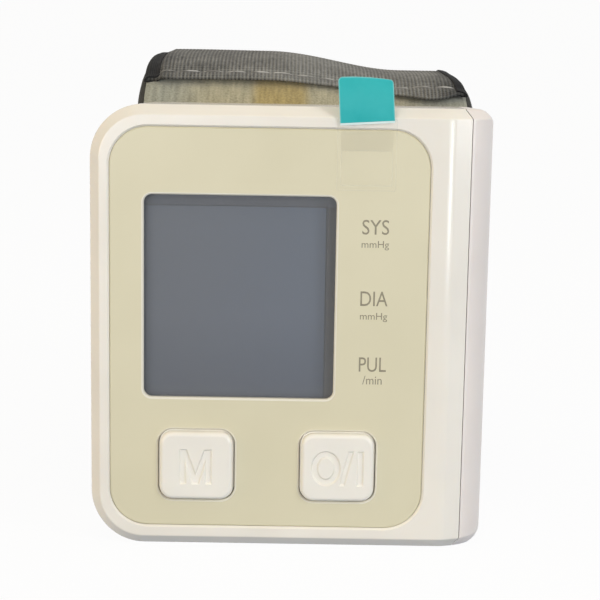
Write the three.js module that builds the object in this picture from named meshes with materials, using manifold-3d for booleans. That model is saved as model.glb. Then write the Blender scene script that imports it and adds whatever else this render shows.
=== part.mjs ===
// Wrist blood pressure monitor: an upright case with its closed wrist cuff behind it.
// Millimetres. X runs to the right of the display, Y from the display to the wrist, Z up.
// The origin is the middle of the flat underside of the case.

import * as THREE from 'three';
import { mergeVertices } from 'three/addons/utils/BufferGeometryUtils.js';
import Module from 'manifold-3d';

const wasm = await Module();
wasm.setup();

// Clearances
const FIT = 0.05; // between flat faces that rest on each other
const SLIP = 0.3; // round parts that slide or pass through a hole
const SEAM = 0.25; // line between two shells
const LAYER = 0.2; // between the sewn layers of the cuff

// Corner radii of small pieces
const CUT_CORNER = 0.3; // cut or stamped
const MOULDED_CORNER = 0.6;

// Face: window, label column and buttons fill the plate, and its borders complete the case
const WINDOW_WIDTH = 32.3;
const WINDOW_HEIGHT = 34.75;
const WINDOW_CORNER = 1.4;
const WINDOW_LEFT = 5.85;
const WINDOW_TOP = 11.45;
const LABEL_COLUMN = 15.55;
const BUTTON_WIDTH = 12.5;
const BUTTON_HEIGHT = 11.9;
const BUTTON_CORNER = 2.2;
const BUTTON_EDGE = 0.6;
const BUTTON_PITCH = 24.2;
const BUTTON_DROP = 6;
const BUTTON_MARGIN = 4.85;
const BUTTON_PROUD = 1;
const BUTTON_FLANGE = 0.8;
const BUTTON_FLANGE_RIM = 0.9;
const PLATE_THICK = 1;
const PLATE_SINK = 0.2;
const PLATE_CORNER = 6.5;
const BORDER_LEFT = 3.35;
const BORDER_RIGHT = 10.95;
const BORDER_TOP = 3.45;
const BORDER_BOTTOM = 3.65;

// Shells
const CASE_WALL = 1.8;
const FRONT_WALL = 1.6;
const END_WALL = 1.6;
const LEFT_CORNER = 10.2;
const RIGHT_CORNER = 3.3;
const ROLL_CORNER = 2.0; // where the right roll begins
const FRONT_EDGE = 1.9; // chamfer round the front, with its rounded borders
const FRONT_ROUND = 0.45;
const RIGHT_ROLL = 8.5;
const REAR_EDGE = 2.5;
const TOP_FALL = 1.6; // the top wall falls by this much towards the back
const SADDLE_DEPTH = 3;
const FRONT_COVER_DEPTH = 10.5;
const CAP_WIDTH = 4.17;
const CAP_WALL = 1.4;
const TONGUE_LENGTH = 3.6;
const TONGUE_WIDTH = 8;
const TONGUE_THICK = 1.2;

// AAA cells, their tray and contacts
const CELL_DIAMETER = 10.5;
const CELL_LENGTH = 44.5;
const CELL_NUB = 1;
const CELL_NUB_DIAMETER = 3.6;
const CELL_SHOULDER = 0.6;
const CELL_NUB_EDGE = 0.2;
const CELL_SPACING = 0.4;
const TRAY_WALL = 1.2;
const CONTACT_THICK = 0.4;
const CONTACT_WIDTH = 8.4;
const SPRING_HEIGHT = 4;
const SPRING_WIRE = 0.5;
const SPRING_BASE_RADIUS = 3.3;
const SPRING_TIP_RADIUS = 2.1;
const SPRING_TURNS = 3.25;

// Display stack and board
const LENS_THICK = 1.3;
const LENS_RIM = 1;
const LCD_THICK = 2.2;
const LCD_WIDTH = 32.1;
const LCD_HEIGHT = 34.3;
const LCD_LEFT_OF_WINDOW = 1.5;
const LCD_BELOW_WINDOW = 1.8;
const HOLDER_RIM = 1.8;
const HOLDER_LEDGE = 1;
const ZEBRA_HEIGHT = 3.4;
const ZEBRA_THICK = 2;
const BOARD_THICK = 1.6;
const BOARD_MARGIN = 3;
const BOARD_POST = 2.4;
const SWITCH_SIZE = 6;
const SWITCH_HEIGHT = 3.2;
const PLUNGER_DIAMETER = 3.4;
const PLUNGER_PROUD = 0.7;
const PLUNGER_SEAT = 1.4;
const STEM_DIAMETER = 4;
const BUTTON_TRAVEL = 0.6;
const CHIP_SIZE = 12;
const CHIP_HEIGHT = 1.4;
const BUZZER_DIAMETER = 9;
const BUZZER_HEIGHT = 4;

// Pneumatics
const MOTOR_DIAMETER = 12.2;
const MOTOR_LENGTH = 17;
const PUMP_HEAD_DIAMETER = 13;
const PUMP_HEAD_LENGTH = 12;
const SLEEVE_WALL = 0.7;
const SLEEVE_LENGTH = 10;
const PORT_DIAMETER = 1.8;
const PORT_LENGTH = 3;
const TUBE_OUTER = 4;
const TUBE_INNER = 2.4;
const SENSOR_SIZE = 8;
const SENSOR_HEIGHT = 3.6;
const VALVE_SIZE = 10;
const VALVE_DEPTH = 9;
const MANIFOLD_SIZE = 5;
const AIR_LINE_RISE = 29; // height of the air line above the underside

// Screws
const SCREW_SHANK = 2.2;
const SCREW_HEAD = 4;
const SCREW_HEAD_HEIGHT = 1.6;
const SCREW_BOSS = 5.4;
const SCREW_GRIP = 6;
const SCREW_SINK = 2;
const SCREW_INSET = 5.5;
const ANCHOR_SHANK = 2;
const ANCHOR_HEAD = 4.2;
const ANCHOR_HEAD_HEIGHT = 1.4;
const ANCHOR_BOSS = 5;
const ANCHOR_SPREAD_X = 24;
const ANCHOR_SPREAD_Z = 22;

// Cuff: a rounded oval loop behind the case, closed by a tail that laps over its top
const LOOP_DEPTH = 70;
const LOOP_HEIGHT = 79.7;
const LOOP_SQUARENESS = 2.8;
const CUFF_WIDTH = 63.8;
const CUFF_SHIFT = 2.3; // the cuff sits this far to the right of the case's middle
const CUFF_SAG = 3; // the right end of the top hangs lower than the left
const CUFF_EDGE = 4; // width over which the sewn edges draw in
const CUFF_EDGE_DROP = 1;
const COVER_THICK = 0.9;
const ANCHOR_THICK = 1.2;
const ANCHOR_RIM = 4;
const STIFFENER_THICK = 0.8;
const BLADDER_THICK = 2.2;
const LINING_THICK = 0.9;
const BINDING_WIDTH = 0.8;
const LOOP_PANEL_THICK = 0.6;
const HOOK_THICK = 0.6;
const TAIL_THICK = 1.1;
const TAIL_INSET = 1.2; // the tail is narrower than the cover on each side
const SHORT_END_ANGLE = 125;
const HINGE_ANGLE = -150;
const HEM_ANGLE = 59.5;
const HOOK_END_ANGLE = 64;
const LAP_ANGLE = 142; // where the tail has risen on to the lapped layers
const PANEL_START_ANGLE = 38;
const INNER_MARGIN_ANGLE = 5; // the stiffener and the bladder end this far inside the cover
const ANGLE_STEP = 6.25;

// Protective film and its pull tab
const FILM_THICK = 0.25;
const FILM_WIDTH = 10;
const FILM_HEIGHT = 12;
const FILM_DROP = 1.8;
const FILM_RIGHT = 5.65;
const TAB_WIDTH = 9.6;
const TAB_RISE = 7.3;
const TAB_LAP = 1;
const TAB_CORNER = 1.2;
const TAB_LEAN = 0.5;

// Worked out from the sizes above
const PLATE_WIDTH = WINDOW_LEFT + WINDOW_WIDTH + LABEL_COLUMN;
const PLATE_HEIGHT = WINDOW_TOP + WINDOW_HEIGHT + BUTTON_DROP + BUTTON_HEIGHT + BUTTON_MARGIN;
const CASE_WIDTH = BORDER_LEFT + PLATE_WIDTH + BORDER_RIGHT;
const CASE_HEIGHT = BORDER_BOTTOM + PLATE_HEIGHT + BORDER_TOP;
const FRONT_STACK = PLATE_SINK + PLATE_THICK + FIT + FRONT_WALL;
const BAY_DEPTH = 2 * CELL_DIAMETER + CELL_SPACING + 2 * SLIP;
const WAIST_DEPTH = FRONT_STACK + BAY_DEPTH + CASE_WALL;
const CASE_DEPTH = WAIST_DEPTH + SADDLE_DEPTH;
const LEFT = -CASE_WIDTH / 2;
const RIGHT = CASE_WIDTH / 2;
const FRONT = -CASE_DEPTH / 2;
const BACK = CASE_DEPTH / 2;
const WAIST_BACK = FRONT + WAIST_DEPTH;
const PARTING = FRONT + FRONT_COVER_DEPTH;
const SEAM_X = RIGHT - CAP_WIDTH;
const PLATE_FRONT = FRONT + PLATE_SINK;
const PLATE_BACK = PLATE_FRONT + PLATE_THICK;
const INNER_FACE = FRONT + FRONT_STACK;
const PLATE_LEFT = LEFT + BORDER_LEFT;
const PLATE_RIGHT = PLATE_LEFT + PLATE_WIDTH;
const PLATE_TOP = CASE_HEIGHT - BORDER_TOP;
const WINDOW_X = PLATE_LEFT + WINDOW_LEFT + WINDOW_WIDTH / 2;
const WINDOW_Z = PLATE_TOP - WINDOW_TOP - WINDOW_HEIGHT / 2;
const BUTTON_Z = BORDER_BOTTOM + BUTTON_MARGIN + BUTTON_HEIGHT / 2;
const MEMORY_X = (PLATE_LEFT + PLATE_RIGHT - BUTTON_PITCH) / 2;
const POWER_X = MEMORY_X + BUTTON_PITCH;
const LCD_X = WINDOW_X - WINDOW_WIDTH / 2 - LCD_LEFT_OF_WINDOW + LCD_WIDTH / 2;
const LCD_Z = WINDOW_Z - WINDOW_HEIGHT / 2 - LCD_BELOW_WINDOW + LCD_HEIGHT / 2;
const LCD_FRONT = INNER_FACE + FIT;
const LCD_BACK = LCD_FRONT + LCD_THICK;
const BOARD_FRONT = LCD_BACK + ZEBRA_HEIGHT + 2 * FIT;
const BOARD_BACK = BOARD_FRONT + BOARD_THICK;
const TRAY_LEFT = SEAM_X - END_WALL - FIT - CELL_DIAMETER - 2 * SLIP - TRAY_WALL;
const CELL_X = TRAY_LEFT + TRAY_WALL + SLIP + CELL_DIAMETER / 2;
const FRONT_CELL_Y = INNER_FACE + SLIP + CELL_DIAMETER / 2;
const REAR_CELL_Y = FRONT_CELL_Y + CELL_DIAMETER + CELL_SPACING;
const BAY_LENGTH = CELL_LENGTH + SPRING_HEIGHT + 2 * CONTACT_THICK + 4 * FIT;
const BAY_BOTTOM = (CASE_HEIGHT - BAY_LENGTH) / 2;
const BAY_TOP = BAY_BOTTOM + BAY_LENGTH;
const TRAY_BACK = WAIST_BACK - CASE_WALL - FIT;
const BOARD_LEFT = LEFT + CASE_WALL + SCREW_INSET + SCREW_BOSS / 2 + SLIP;
const BOARD_RIGHT = TRAY_LEFT - SLIP;
const BOARD_BOTTOM = CASE_WALL + BOARD_MARGIN;
const BOARD_TOP = CASE_HEIGHT - CASE_WALL - BOARD_MARGIN;
const MOTOR_LEFT = BOARD_LEFT + SLIP;
const MOTOR_RIGHT = MOTOR_LEFT + MOTOR_LENGTH;
const HEAD_LEFT = MOTOR_RIGHT + LAYER;
const AIR_X = HEAD_LEFT + PUMP_HEAD_LENGTH / 2;
const LOOP_Y = WAIST_BACK + SLIP + LOOP_DEPTH / 2;
const LOOP_Z = LOOP_HEIGHT / 2;
const CUFF_LEFT = CUFF_SHIFT - CUFF_WIDTH / 2;
const CUFF_RIGHT = CUFF_SHIFT + CUFF_WIDTH / 2;
const COVER_LEFT = CUFF_LEFT + BINDING_WIDTH + LAYER;
const COVER_RIGHT = CUFF_RIGHT - BINDING_WIDTH - LAYER;
const ANCHOR_DEPTH = COVER_THICK + LAYER;
const STIFFENER_DEPTH = ANCHOR_DEPTH + ANCHOR_THICK + LAYER;
const BLADDER_DEPTH = STIFFENER_DEPTH + STIFFENER_THICK + LAYER;
const LINING_DEPTH = BLADDER_DEPTH + BLADDER_THICK + LAYER;
const CUFF_THICK = LINING_DEPTH + LINING_THICK;
const PANEL_RISE = LAYER + LOOP_PANEL_THICK;
const HOOK_RISE = PANEL_RISE + LAYER + HOOK_THICK;
const TAIL_RISE = HOOK_RISE + LAYER + TAIL_THICK;
const FAR = 4 * (CASE_WIDTH + CASE_HEIGHT + LOOP_DEPTH);

// Closed geometry from triangles, turned so that its faces point out
function closed(positions, indices) {
  let volume = 0;
  const corner = [new THREE.Vector3(), new THREE.Vector3(), new THREE.Vector3()];
  for (let i = 0; i < indices.length; i += 3) {
    corner.forEach((point, k) => point.fromArray(positions, 3 * indices[i + k]));
    volume += corner[0].dot(corner[1].clone().cross(corner[2]));
  }
  const geometry = new THREE.BufferGeometry();
  geometry.setAttribute('position', new THREE.Float32BufferAttribute(positions, 3));
  geometry.setIndex(volume < 0 ? [...indices].reverse() : [...indices]);
  return geometry;
}

// A solid for joining and cutting
function solid(geometry) {
  const bare = geometry.clone();
  bare.deleteAttribute('normal');
  bare.deleteAttribute('uv');
  const merged = mergeVertices(bare, 1e-4);
  const whole = closed(merged.attributes.position.array, merged.index.array);
  return new wasm.Manifold(new wasm.Mesh({
    numProp: 3,
    vertProperties: new Float32Array(whole.attributes.position.array),
    triVerts: new Uint32Array(whole.index.array),
  }));
}

function geometryOf(body) {
  const mesh = body.getMesh();
  const geometry = new THREE.BufferGeometry();
  geometry.setAttribute('position', new THREE.Float32BufferAttribute(mesh.vertProperties, 3));
  geometry.setIndex([...mesh.triVerts]);
  return geometry;
}

// Rings of points joined side by side, with flat ends
function loft(rings, outline) {
  const count = outline.length;
  const positions = rings.flat().flatMap((point) => [point.x, point.y, point.z]);
  const indices = [];
  for (let ring = 0; ring + 1 < rings.length; ring += 1) {
    for (let i = 0; i < count; i += 1) {
      const a = ring * count + i;
      const b = ring * count + ((i + 1) % count);
      indices.push(a, b, b + count, a, b + count, a + count);
    }
  }
  const last = (rings.length - 1) * count;
  const turned = THREE.ShapeUtils.isClockWise(outline);
  THREE.ShapeUtils.triangulateShape(outline, []).forEach((triangle) => {
    const [a, b, c] = turned ? [...triangle].reverse() : triangle;
    indices.push(c, b, a, last + a, last + b, last + c);
  });
  return closed(positions, indices);
}

function box(x0, y0, z0, x1, y1, z1) {
  const geometry = new THREE.BoxGeometry(x1 - x0, y1 - y0, z1 - z0);
  return solid(geometry.translate((x0 + x1) / 2, (y0 + y1) / 2, (z0 + z1) / 2));
}

// Round bars along each axis, from one end to the other
function barY(x, z, diameter, y0, y1, sides = 20) {
  const geometry = new THREE.CylinderGeometry(diameter / 2, diameter / 2, y1 - y0, sides);
  return solid(geometry.translate(x, (y0 + y1) / 2, z));
}

function barX(y, z, diameter, x0, x1, sides = 28) {
  const geometry = new THREE.CylinderGeometry(diameter / 2, diameter / 2, x1 - x0, sides);
  return solid(geometry.rotateZ(Math.PI / 2).translate((x0 + x1) / 2, y, z));
}

function barZ(x, y, diameter, z0, z1, sides = 16) {
  const geometry = new THREE.CylinderGeometry(diameter / 2, diameter / 2, z1 - z0, sides);
  return solid(geometry.rotateX(Math.PI / 2).translate(x, y, (z0 + z1) / 2));
}

// Outline of a rectangle whose left and right corners have their own radii
function roundedOutline(x0, z0, x1, z1, leftRadius, rightRadius, segments) {
  const corners = [
    [x1 - rightRadius, z0 + rightRadius, rightRadius, -Math.PI / 2],
    [x1 - rightRadius, z1 - rightRadius, rightRadius, 0],
    [x0 + leftRadius, z1 - leftRadius, leftRadius, Math.PI / 2],
    [x0 + leftRadius, z0 + leftRadius, leftRadius, Math.PI],
  ];
  return corners.flatMap(([x, z, radius, start]) => {
    const points = [];
    for (let i = 0; i <= segments; i += 1) {
      const angle = start + (i / segments) * Math.PI / 2;
      points.push(new THREE.Vector2(x + radius * Math.cos(angle), z + radius * Math.sin(angle)));
    }
    return points;
  });
}

function ringAt(outline, y) {
  return outline.map((point) => new THREE.Vector3(point.x, y, point.y));
}

// Flat block with rounded corners, between two depths
function slab(x, z, width, height, radius, y0, y1, segments = 5) {
  const outline = roundedOutline(
    x - width / 2, z - height / 2, x + width / 2, z + height / 2, radius, radius, segments);
  return solid(loft([ringAt(outline, y0), ringAt(outline, y1)], outline));
}

// The whole case as one body, set in from its outer faces by a wall
function caseBody(inset) {
  const roll = RIGHT_ROLL - inset;
  const edge = Math.max(FRONT_EDGE - inset, SLIP);
  const rearEdge = REAR_EDGE - inset;
  const depth = CASE_DEPTH - 2 * inset;
  const round = Math.min(FRONT_ROUND, edge / 2);
  const chamfer = edge - round * Math.tan(Math.PI / 8);
  const nick = round * (1 - Math.SQRT1_2);
  const quarter = [0, 0.25, 0.5, 0.75, 1].map((part) => part * Math.PI / 2);
  const fronts = [0, nick, chamfer - nick, edge];
  const frontIns = [...fronts].reverse();
  const rolls = quarter.map((angle) => roll * (1 - Math.cos(angle))).filter((d) => d > edge + SLIP);
  const rears = quarter.map((angle) => depth - rearEdge * (1 - Math.sin(angle)));
  const stations = [...fronts, ...rolls, ...rears];
  const outlines = stations.map((d, i) => {
    const behind = Math.max(d - (depth - rearEdge), 0);
    const frontIn = frontIns[i] ?? 0;
    const rearIn = rearEdge - Math.sqrt(Math.max(rearEdge * rearEdge - behind * behind, 0));
    const rollIn = roll - Math.sqrt(Math.max(roll * roll - Math.max(roll - d, 0) ** 2, 0));
    const side = inset + frontIn + rearIn;
    const corner = ROLL_CORNER + (RIGHT_CORNER - ROLL_CORNER) * Math.min(d / roll, 1);
    const fall = TOP_FALL * (d + inset) / CASE_DEPTH;
    return roundedOutline(
      LEFT + side, side, RIGHT - inset - rearIn - rollIn, CASE_HEIGHT - side - fall,
      Math.max(LEFT_CORNER - side, SLIP), Math.max(corner - side, SLIP), 7);
  });
  return solid(loft(outlines.map((outline, i) => ringAt(outline, FRONT + inset + stations[i])), outlines[0]));
}

// Point of the cuff: an angle round the loop (0 at the case, 90 at the top), a depth below the
// outer face of the cuff's cover, and a place across its width
function cuffPoint(angle, depth, x) {
  const radians = THREE.MathUtils.degToRad(angle);
  const a = LOOP_DEPTH / 2;
  const b = LOOP_HEIGHT / 2;
  const n = LOOP_SQUARENESS;
  const c = Math.cos(radians);
  const s = Math.sin(radians);
  const radius = (Math.abs(c / a) ** n + Math.abs(s / b) ** n) ** (-1 / n);
  const normal = new THREE.Vector2(
    Math.sign(c) * Math.abs(radius * c / a) ** (n - 1) / a,
    Math.sign(s) * Math.abs(radius * s / b) ** (n - 1) / b).normalize();
  const forward = radius * c - depth * normal.x;
  const up = radius * s - depth * normal.y;
  const share = (x - CUFF_LEFT) / CUFF_WIDTH;
  const sag = CUFF_SAG * share * Math.max(up / b, 0) ** 2;
  return new THREE.Vector3(x, LOOP_Y - forward, LOOP_Z + up - sag);
}

// A layer of the cuff between two angles. Its ring is given as [x, depth] corners, and lift
// raises the whole layer at an angle.
function cuffLayer(from, to, corners, lift = () => 0) {
  const steps = Math.ceil(Math.abs(to - from) / ANGLE_STEP);
  const rings = [];
  for (let i = 0; i <= steps; i += 1) {
    const angle = from + (to - from) * i / steps;
    rings.push(corners.map(([x, depth]) => cuffPoint(angle, depth - lift(angle), x)));
  }
  return solid(loft(rings, corners.map(([x, depth]) => new THREE.Vector2(x, depth))));
}

function flatLayer(from, to, x0, x1, depth, thick) {
  return cuffLayer(from, to, [[x0, depth], [x1, depth], [x1, depth + thick], [x0, depth + thick]]);
}

// Corners of a layer whose sewn edges draw in by a drop, on both faces
function drawnIn(x0, x1, depth, thick, drop) {
  const inner = depth + thick;
  return [
    [x0, depth + drop], [x0 + CUFF_EDGE, depth], [x1 - CUFF_EDGE, depth], [x1, depth + drop],
    [x1, inner + drop], [x1 - CUFF_EDGE, inner], [x0 + CUFF_EDGE, inner], [x0, inner + drop],
  ];
}

// Prism across the case that holds everything behind the cuff's front face, set out by a gap
function saddle(gap) {
  const profile = [];
  for (let angle = -90; angle <= 90; angle += ANGLE_STEP) {
    const point = cuffPoint(angle, -gap, CUFF_LEFT);
    profile.push(new THREE.Vector2(point.y, point.z));
  }
  profile.push(new THREE.Vector2(FAR, profile[profile.length - 1].y));
  profile.push(new THREE.Vector2(FAR, profile[0].y));
  const ends = [-FAR, FAR];
  return solid(loft(ends.map((x) => profile.map((p) => new THREE.Vector3(x, p.x, p.y))), profile));
}

const group = new THREE.Group();

function add(name, body, color, roughness, metalness = 0) {
  const geometry = body instanceof wasm.Manifold ? geometryOf(body) : body;
  const mesh = new THREE.Mesh(geometry, new THREE.MeshStandardMaterial({ color, roughness, metalness }));
  mesh.name = name;
  group.add(mesh);
}

const IVORY = 0xe9e4d6;
const CREAM = 0xd6cfb3;
const BLACK = 0x26272a;
const STEEL = 0xb9bcc0;
const BOARD_GREEN = 0x1f5a3a;
const RUBBER = 0xd9d4c8;
const CLOTH = 0x6f6d6b;
const PILE = 0xa59e84;

// Screws: [x, z] of the four case screws and of the four cuff anchors
const SCREW_LEFT_X = LEFT + CASE_WALL + SCREW_INSET;
const SCREW_RIGHT_X = TRAY_LEFT + SCREW_BOSS / 2 + TRAY_WALL;
const SCREW_LOW = (CASE_WALL + BAY_BOTTOM - TRAY_WALL) / 2;
const SCREW_HIGH = (BAY_TOP + TRAY_WALL + CASE_HEIGHT - TOP_FALL - CASE_WALL) / 2;
const CASE_SCREWS = {
  case_screw_lower_left: [SCREW_LEFT_X, SCREW_LOW],
  case_screw_upper_left: [SCREW_LEFT_X, SCREW_HIGH],
  case_screw_lower_right: [SCREW_RIGHT_X, SCREW_LOW],
  case_screw_upper_right: [SCREW_RIGHT_X, SCREW_HIGH],
};
const ANCHOR_X = (BOARD_LEFT + BOARD_RIGHT) / 2;
const ANCHORS = {
  anchor_screw_lower_left: [ANCHOR_X - ANCHOR_SPREAD_X / 2, LOOP_Z - ANCHOR_SPREAD_Z / 2],
  anchor_screw_upper_left: [ANCHOR_X - ANCHOR_SPREAD_X / 2, LOOP_Z + ANCHOR_SPREAD_Z / 2],
  anchor_screw_lower_right: [ANCHOR_X + ANCHOR_SPREAD_X / 2, LOOP_Z - ANCHOR_SPREAD_Z / 2],
  anchor_screw_upper_right: [ANCHOR_X + ANCHOR_SPREAD_X / 2, LOOP_Z + ANCHOR_SPREAD_Z / 2],
};
const SCREW_HOLE = SCREW_SHANK + SLIP;
const SCREW_SEAT = BACK - SCREW_SINK;
const SCREW_TIP = PARTING - SCREW_GRIP;
const NOZZLE_HOLE = TUBE_OUTER + 2 * SLIP;
const BUTTON_HOLE_W = BUTTON_WIDTH + 2 * SLIP;
const BUTTON_HOLE_H = BUTTON_HEIGHT + 2 * SLIP;
const BUTTON_HOLE_R = BUTTON_CORNER + SLIP;
const BUTTONS = { memory: MEMORY_X, power: POWER_X };
const TONGUE_Y = (PARTING + WAIST_BACK - CASE_WALL) / 2;
const TONGUES_Z = [BAY_BOTTOM - TRAY_WALL - 2 * TONGUE_THICK, BAY_TOP + TRAY_WALL + 2 * TONGUE_THICK];

const outer = caseBody(0).subtract(saddle(SLIP));
const hollow = caseBody(CASE_WALL)
  .subtract(saddle(SLIP + CASE_WALL))
  .intersect(box(-FAR, INNER_FACE, -FAR, SEAM_X - END_WALL, FAR, FAR));
const bayMouth = box(
  SEAM_X - 2 * END_WALL, INNER_FACE, BAY_BOTTOM, SEAM_X + END_WALL, WAIST_BACK - CASE_WALL, BAY_TOP);

// Front cover: moulded shell with a recess for the face plate, a window, button holes and bosses
function frontCover() {
  const plateX = (PLATE_LEFT + PLATE_RIGHT) / 2;
  const plateZ = BORDER_BOTTOM + PLATE_HEIGHT / 2;
  let body = outer.intersect(box(-FAR, -FAR, -FAR, SEAM_X, PARTING, FAR)).subtract(hollow).subtract(bayMouth);
  body = body.subtract(slab(
    plateX, plateZ, PLATE_WIDTH + 2 * FIT, PLATE_HEIGHT + 2 * FIT, PLATE_CORNER + FIT,
    FRONT - FIT, PLATE_BACK + FIT));
  body = body.subtract(slab(
    WINDOW_X, WINDOW_Z, WINDOW_WIDTH + 2 * (LENS_RIM + FIT), WINDOW_HEIGHT + 2 * (LENS_RIM + FIT),
    WINDOW_CORNER + LENS_RIM, PLATE_BACK, INNER_FACE + FIT));
  for (const x of Object.values(BUTTONS)) {
    body = body.subtract(slab(
      x, BUTTON_Z, BUTTON_HOLE_W, BUTTON_HOLE_H, BUTTON_HOLE_R, PLATE_BACK, INNER_FACE + FIT));
  }
  for (const [x, z] of Object.values(CASE_SCREWS)) {
    body = body.add(barY(x, z, SCREW_BOSS, INNER_FACE - FIT, PARTING));
    body = body.subtract(barY(x, z, SCREW_HOLE, SCREW_TIP - SLIP, PARTING + FIT));
  }
  for (const x of [BOARD_LEFT + BOARD_POST / 2, BOARD_RIGHT - BOARD_POST / 2]) {
    for (const z of [BOARD_BOTTOM + BOARD_POST / 2, BOARD_TOP - BOARD_POST / 2]) {
      body = body.add(barY(x, z, BOARD_POST, INNER_FACE - FIT, BOARD_FRONT - FIT, 12));
    }
  }
  return body;
}

// Rear cover: shell with a hollow back that follows the cuff, screw wells and cuff anchor holes
function rearCover() {
  let body = outer.intersect(box(-FAR, PARTING + SEAM, -FAR, SEAM_X, FAR, FAR))
    .subtract(hollow).subtract(bayMouth);
  for (const [x, z] of Object.values(CASE_SCREWS)) {
    const well = SCREW_SEAT - CASE_WALL;
    body = body.add(barY(x, z, SCREW_BOSS, PARTING + SEAM, well));
    body = body.add(barY(x, z, SCREW_HEAD + 2 * CASE_WALL, well, BACK - REAR_EDGE / 2).intersect(outer));
    body = body.subtract(barY(x, z, SCREW_HOLE, PARTING, BACK));
    body = body.subtract(barY(x, z, SCREW_HEAD + 2 * SLIP, SCREW_SEAT, BACK + FIT));
  }
  for (const [x, z] of Object.values(ANCHORS)) {
    body = body.subtract(barY(x, z, ANCHOR_SHANK + SLIP, PARTING + SEAM, BACK, 12));
  }
  body = body.subtract(barY(AIR_X, AIR_LINE_RISE, NOZZLE_HOLE, PARTING + SEAM, BACK));
  for (const z of TONGUES_Z) {
    body = body.subtract(box(
      SEAM_X - END_WALL - FIT, TONGUE_Y - TONGUE_WIDTH / 2 - SLIP, z - TONGUE_THICK / 2 - SLIP,
      SEAM_X + FIT, TONGUE_Y + TONGUE_WIDTH / 2 + SLIP, z + TONGUE_THICK / 2 + SLIP));
  }
  return body;
}

// Battery cover: the hollow right end of the case, held by two tongues
function batteryCover() {
  let body = outer.intersect(box(SEAM_X + SEAM, -FAR, -FAR, FAR, FAR, FAR));
  body = body.subtract(caseBody(CAP_WALL).subtract(saddle(SLIP + CAP_WALL)));
  for (const z of TONGUES_Z) {
    body = body.add(box(
      SEAM_X - TONGUE_LENGTH, TONGUE_Y - TONGUE_WIDTH / 2, z - TONGUE_THICK / 2,
      RIGHT - CAP_WALL / 2, TONGUE_Y + TONGUE_WIDTH / 2, z + TONGUE_THICK / 2));
  }
  return body;
}

add('front_cover', frontCover(), IVORY, 0.35);
add('rear_cover', rearCover(), IVORY, 0.4);
add('battery_cover', batteryCover(), IVORY, 0.38);

// Face plate: cream sheet with the window and the button holes
let plate = slab(
  (PLATE_LEFT + PLATE_RIGHT) / 2, BORDER_BOTTOM + PLATE_HEIGHT / 2, PLATE_WIDTH - 2 * FIT,
  PLATE_HEIGHT - 2 * FIT, PLATE_CORNER, PLATE_FRONT, PLATE_BACK, 8);
plate = plate.subtract(slab(
  WINDOW_X, WINDOW_Z, WINDOW_WIDTH, WINDOW_HEIGHT, WINDOW_CORNER, PLATE_FRONT - FIT, PLATE_BACK + FIT));
for (const x of Object.values(BUTTONS)) {
  plate = plate.subtract(slab(
    x, BUTTON_Z, BUTTON_HOLE_W, BUTTON_HOLE_H, BUTTON_HOLE_R, PLATE_FRONT - FIT, PLATE_BACK + FIT));
}
add('face_plate', plate, CREAM, 0.45);

// Clear window behind the plate's opening
add('display_window', slab(
  WINDOW_X, WINDOW_Z, WINDOW_WIDTH + 2 * LENS_RIM, WINDOW_HEIGHT + 2 * LENS_RIM, WINDOW_CORNER + LENS_RIM,
  PLATE_BACK + FIT, PLATE_BACK + FIT + LENS_THICK), 0xdfe6ea, 0.05);

// Push buttons with a flange behind the cover, their switches and the switches' plungers
const STEM_END = BOARD_FRONT - FIT - SWITCH_HEIGHT - PLUNGER_PROUD - FIT;
for (const [name, x] of Object.entries(BUTTONS)) {
  const front = PLATE_FRONT - BUTTON_PROUD;
  const flangeFront = INNER_FACE + FIT;
  const outlines = [0, 0.3, 1].map((part) => {
    const inset = BUTTON_EDGE * (1 - Math.sin(part * Math.PI / 2));
    return roundedOutline(
      x - BUTTON_WIDTH / 2 + inset, BUTTON_Z - BUTTON_HEIGHT / 2 + inset, x + BUTTON_WIDTH / 2 - inset,
      BUTTON_Z + BUTTON_HEIGHT / 2 - inset, BUTTON_CORNER - inset, BUTTON_CORNER - inset, 5);
  });
  const depths = [0, BUTTON_EDGE * (1 - Math.cos(0.3 * Math.PI / 2)), BUTTON_EDGE];
  const rings = outlines.map((outline, i) => ringAt(outline, front + depths[i]));
  rings.push(ringAt(outlines[2], flangeFront + BUTTON_FLANGE / 2));
  const button = solid(loft(rings, outlines[0]))
    .add(slab(
      x, BUTTON_Z, BUTTON_WIDTH + 2 * BUTTON_FLANGE_RIM, BUTTON_HEIGHT + 2 * BUTTON_FLANGE_RIM,
      BUTTON_CORNER + BUTTON_FLANGE_RIM, flangeFront, flangeFront + BUTTON_FLANGE))
    .add(barY(x, BUTTON_Z, STEM_DIAMETER, flangeFront, STEM_END, 16));
  add(`${name}_button`, button, 0xe8e2d8, 0.35);
  const bore = PLUNGER_DIAMETER + 2 * LAYER;
  const switchTop = BOARD_FRONT - FIT - SWITCH_HEIGHT;
  const seat = switchTop + PLUNGER_SEAT + BUTTON_TRAVEL;
  const body = slab(x, BUTTON_Z, SWITCH_SIZE, SWITCH_SIZE, MOULDED_CORNER, switchTop, BOARD_FRONT - FIT, 2)
    .subtract(barY(x, BUTTON_Z, bore, switchTop - FIT, seat + FIT, 16));
  add(`${name}_switch`, body, STEEL, 0.4, 0.6);
  add(`${name}_plunger`, barY(
    x, BUTTON_Z, PLUNGER_DIAMETER, switchTop - PLUNGER_PROUD, switchTop + PLUNGER_SEAT, 16), BLACK, 0.5);
}

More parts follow.
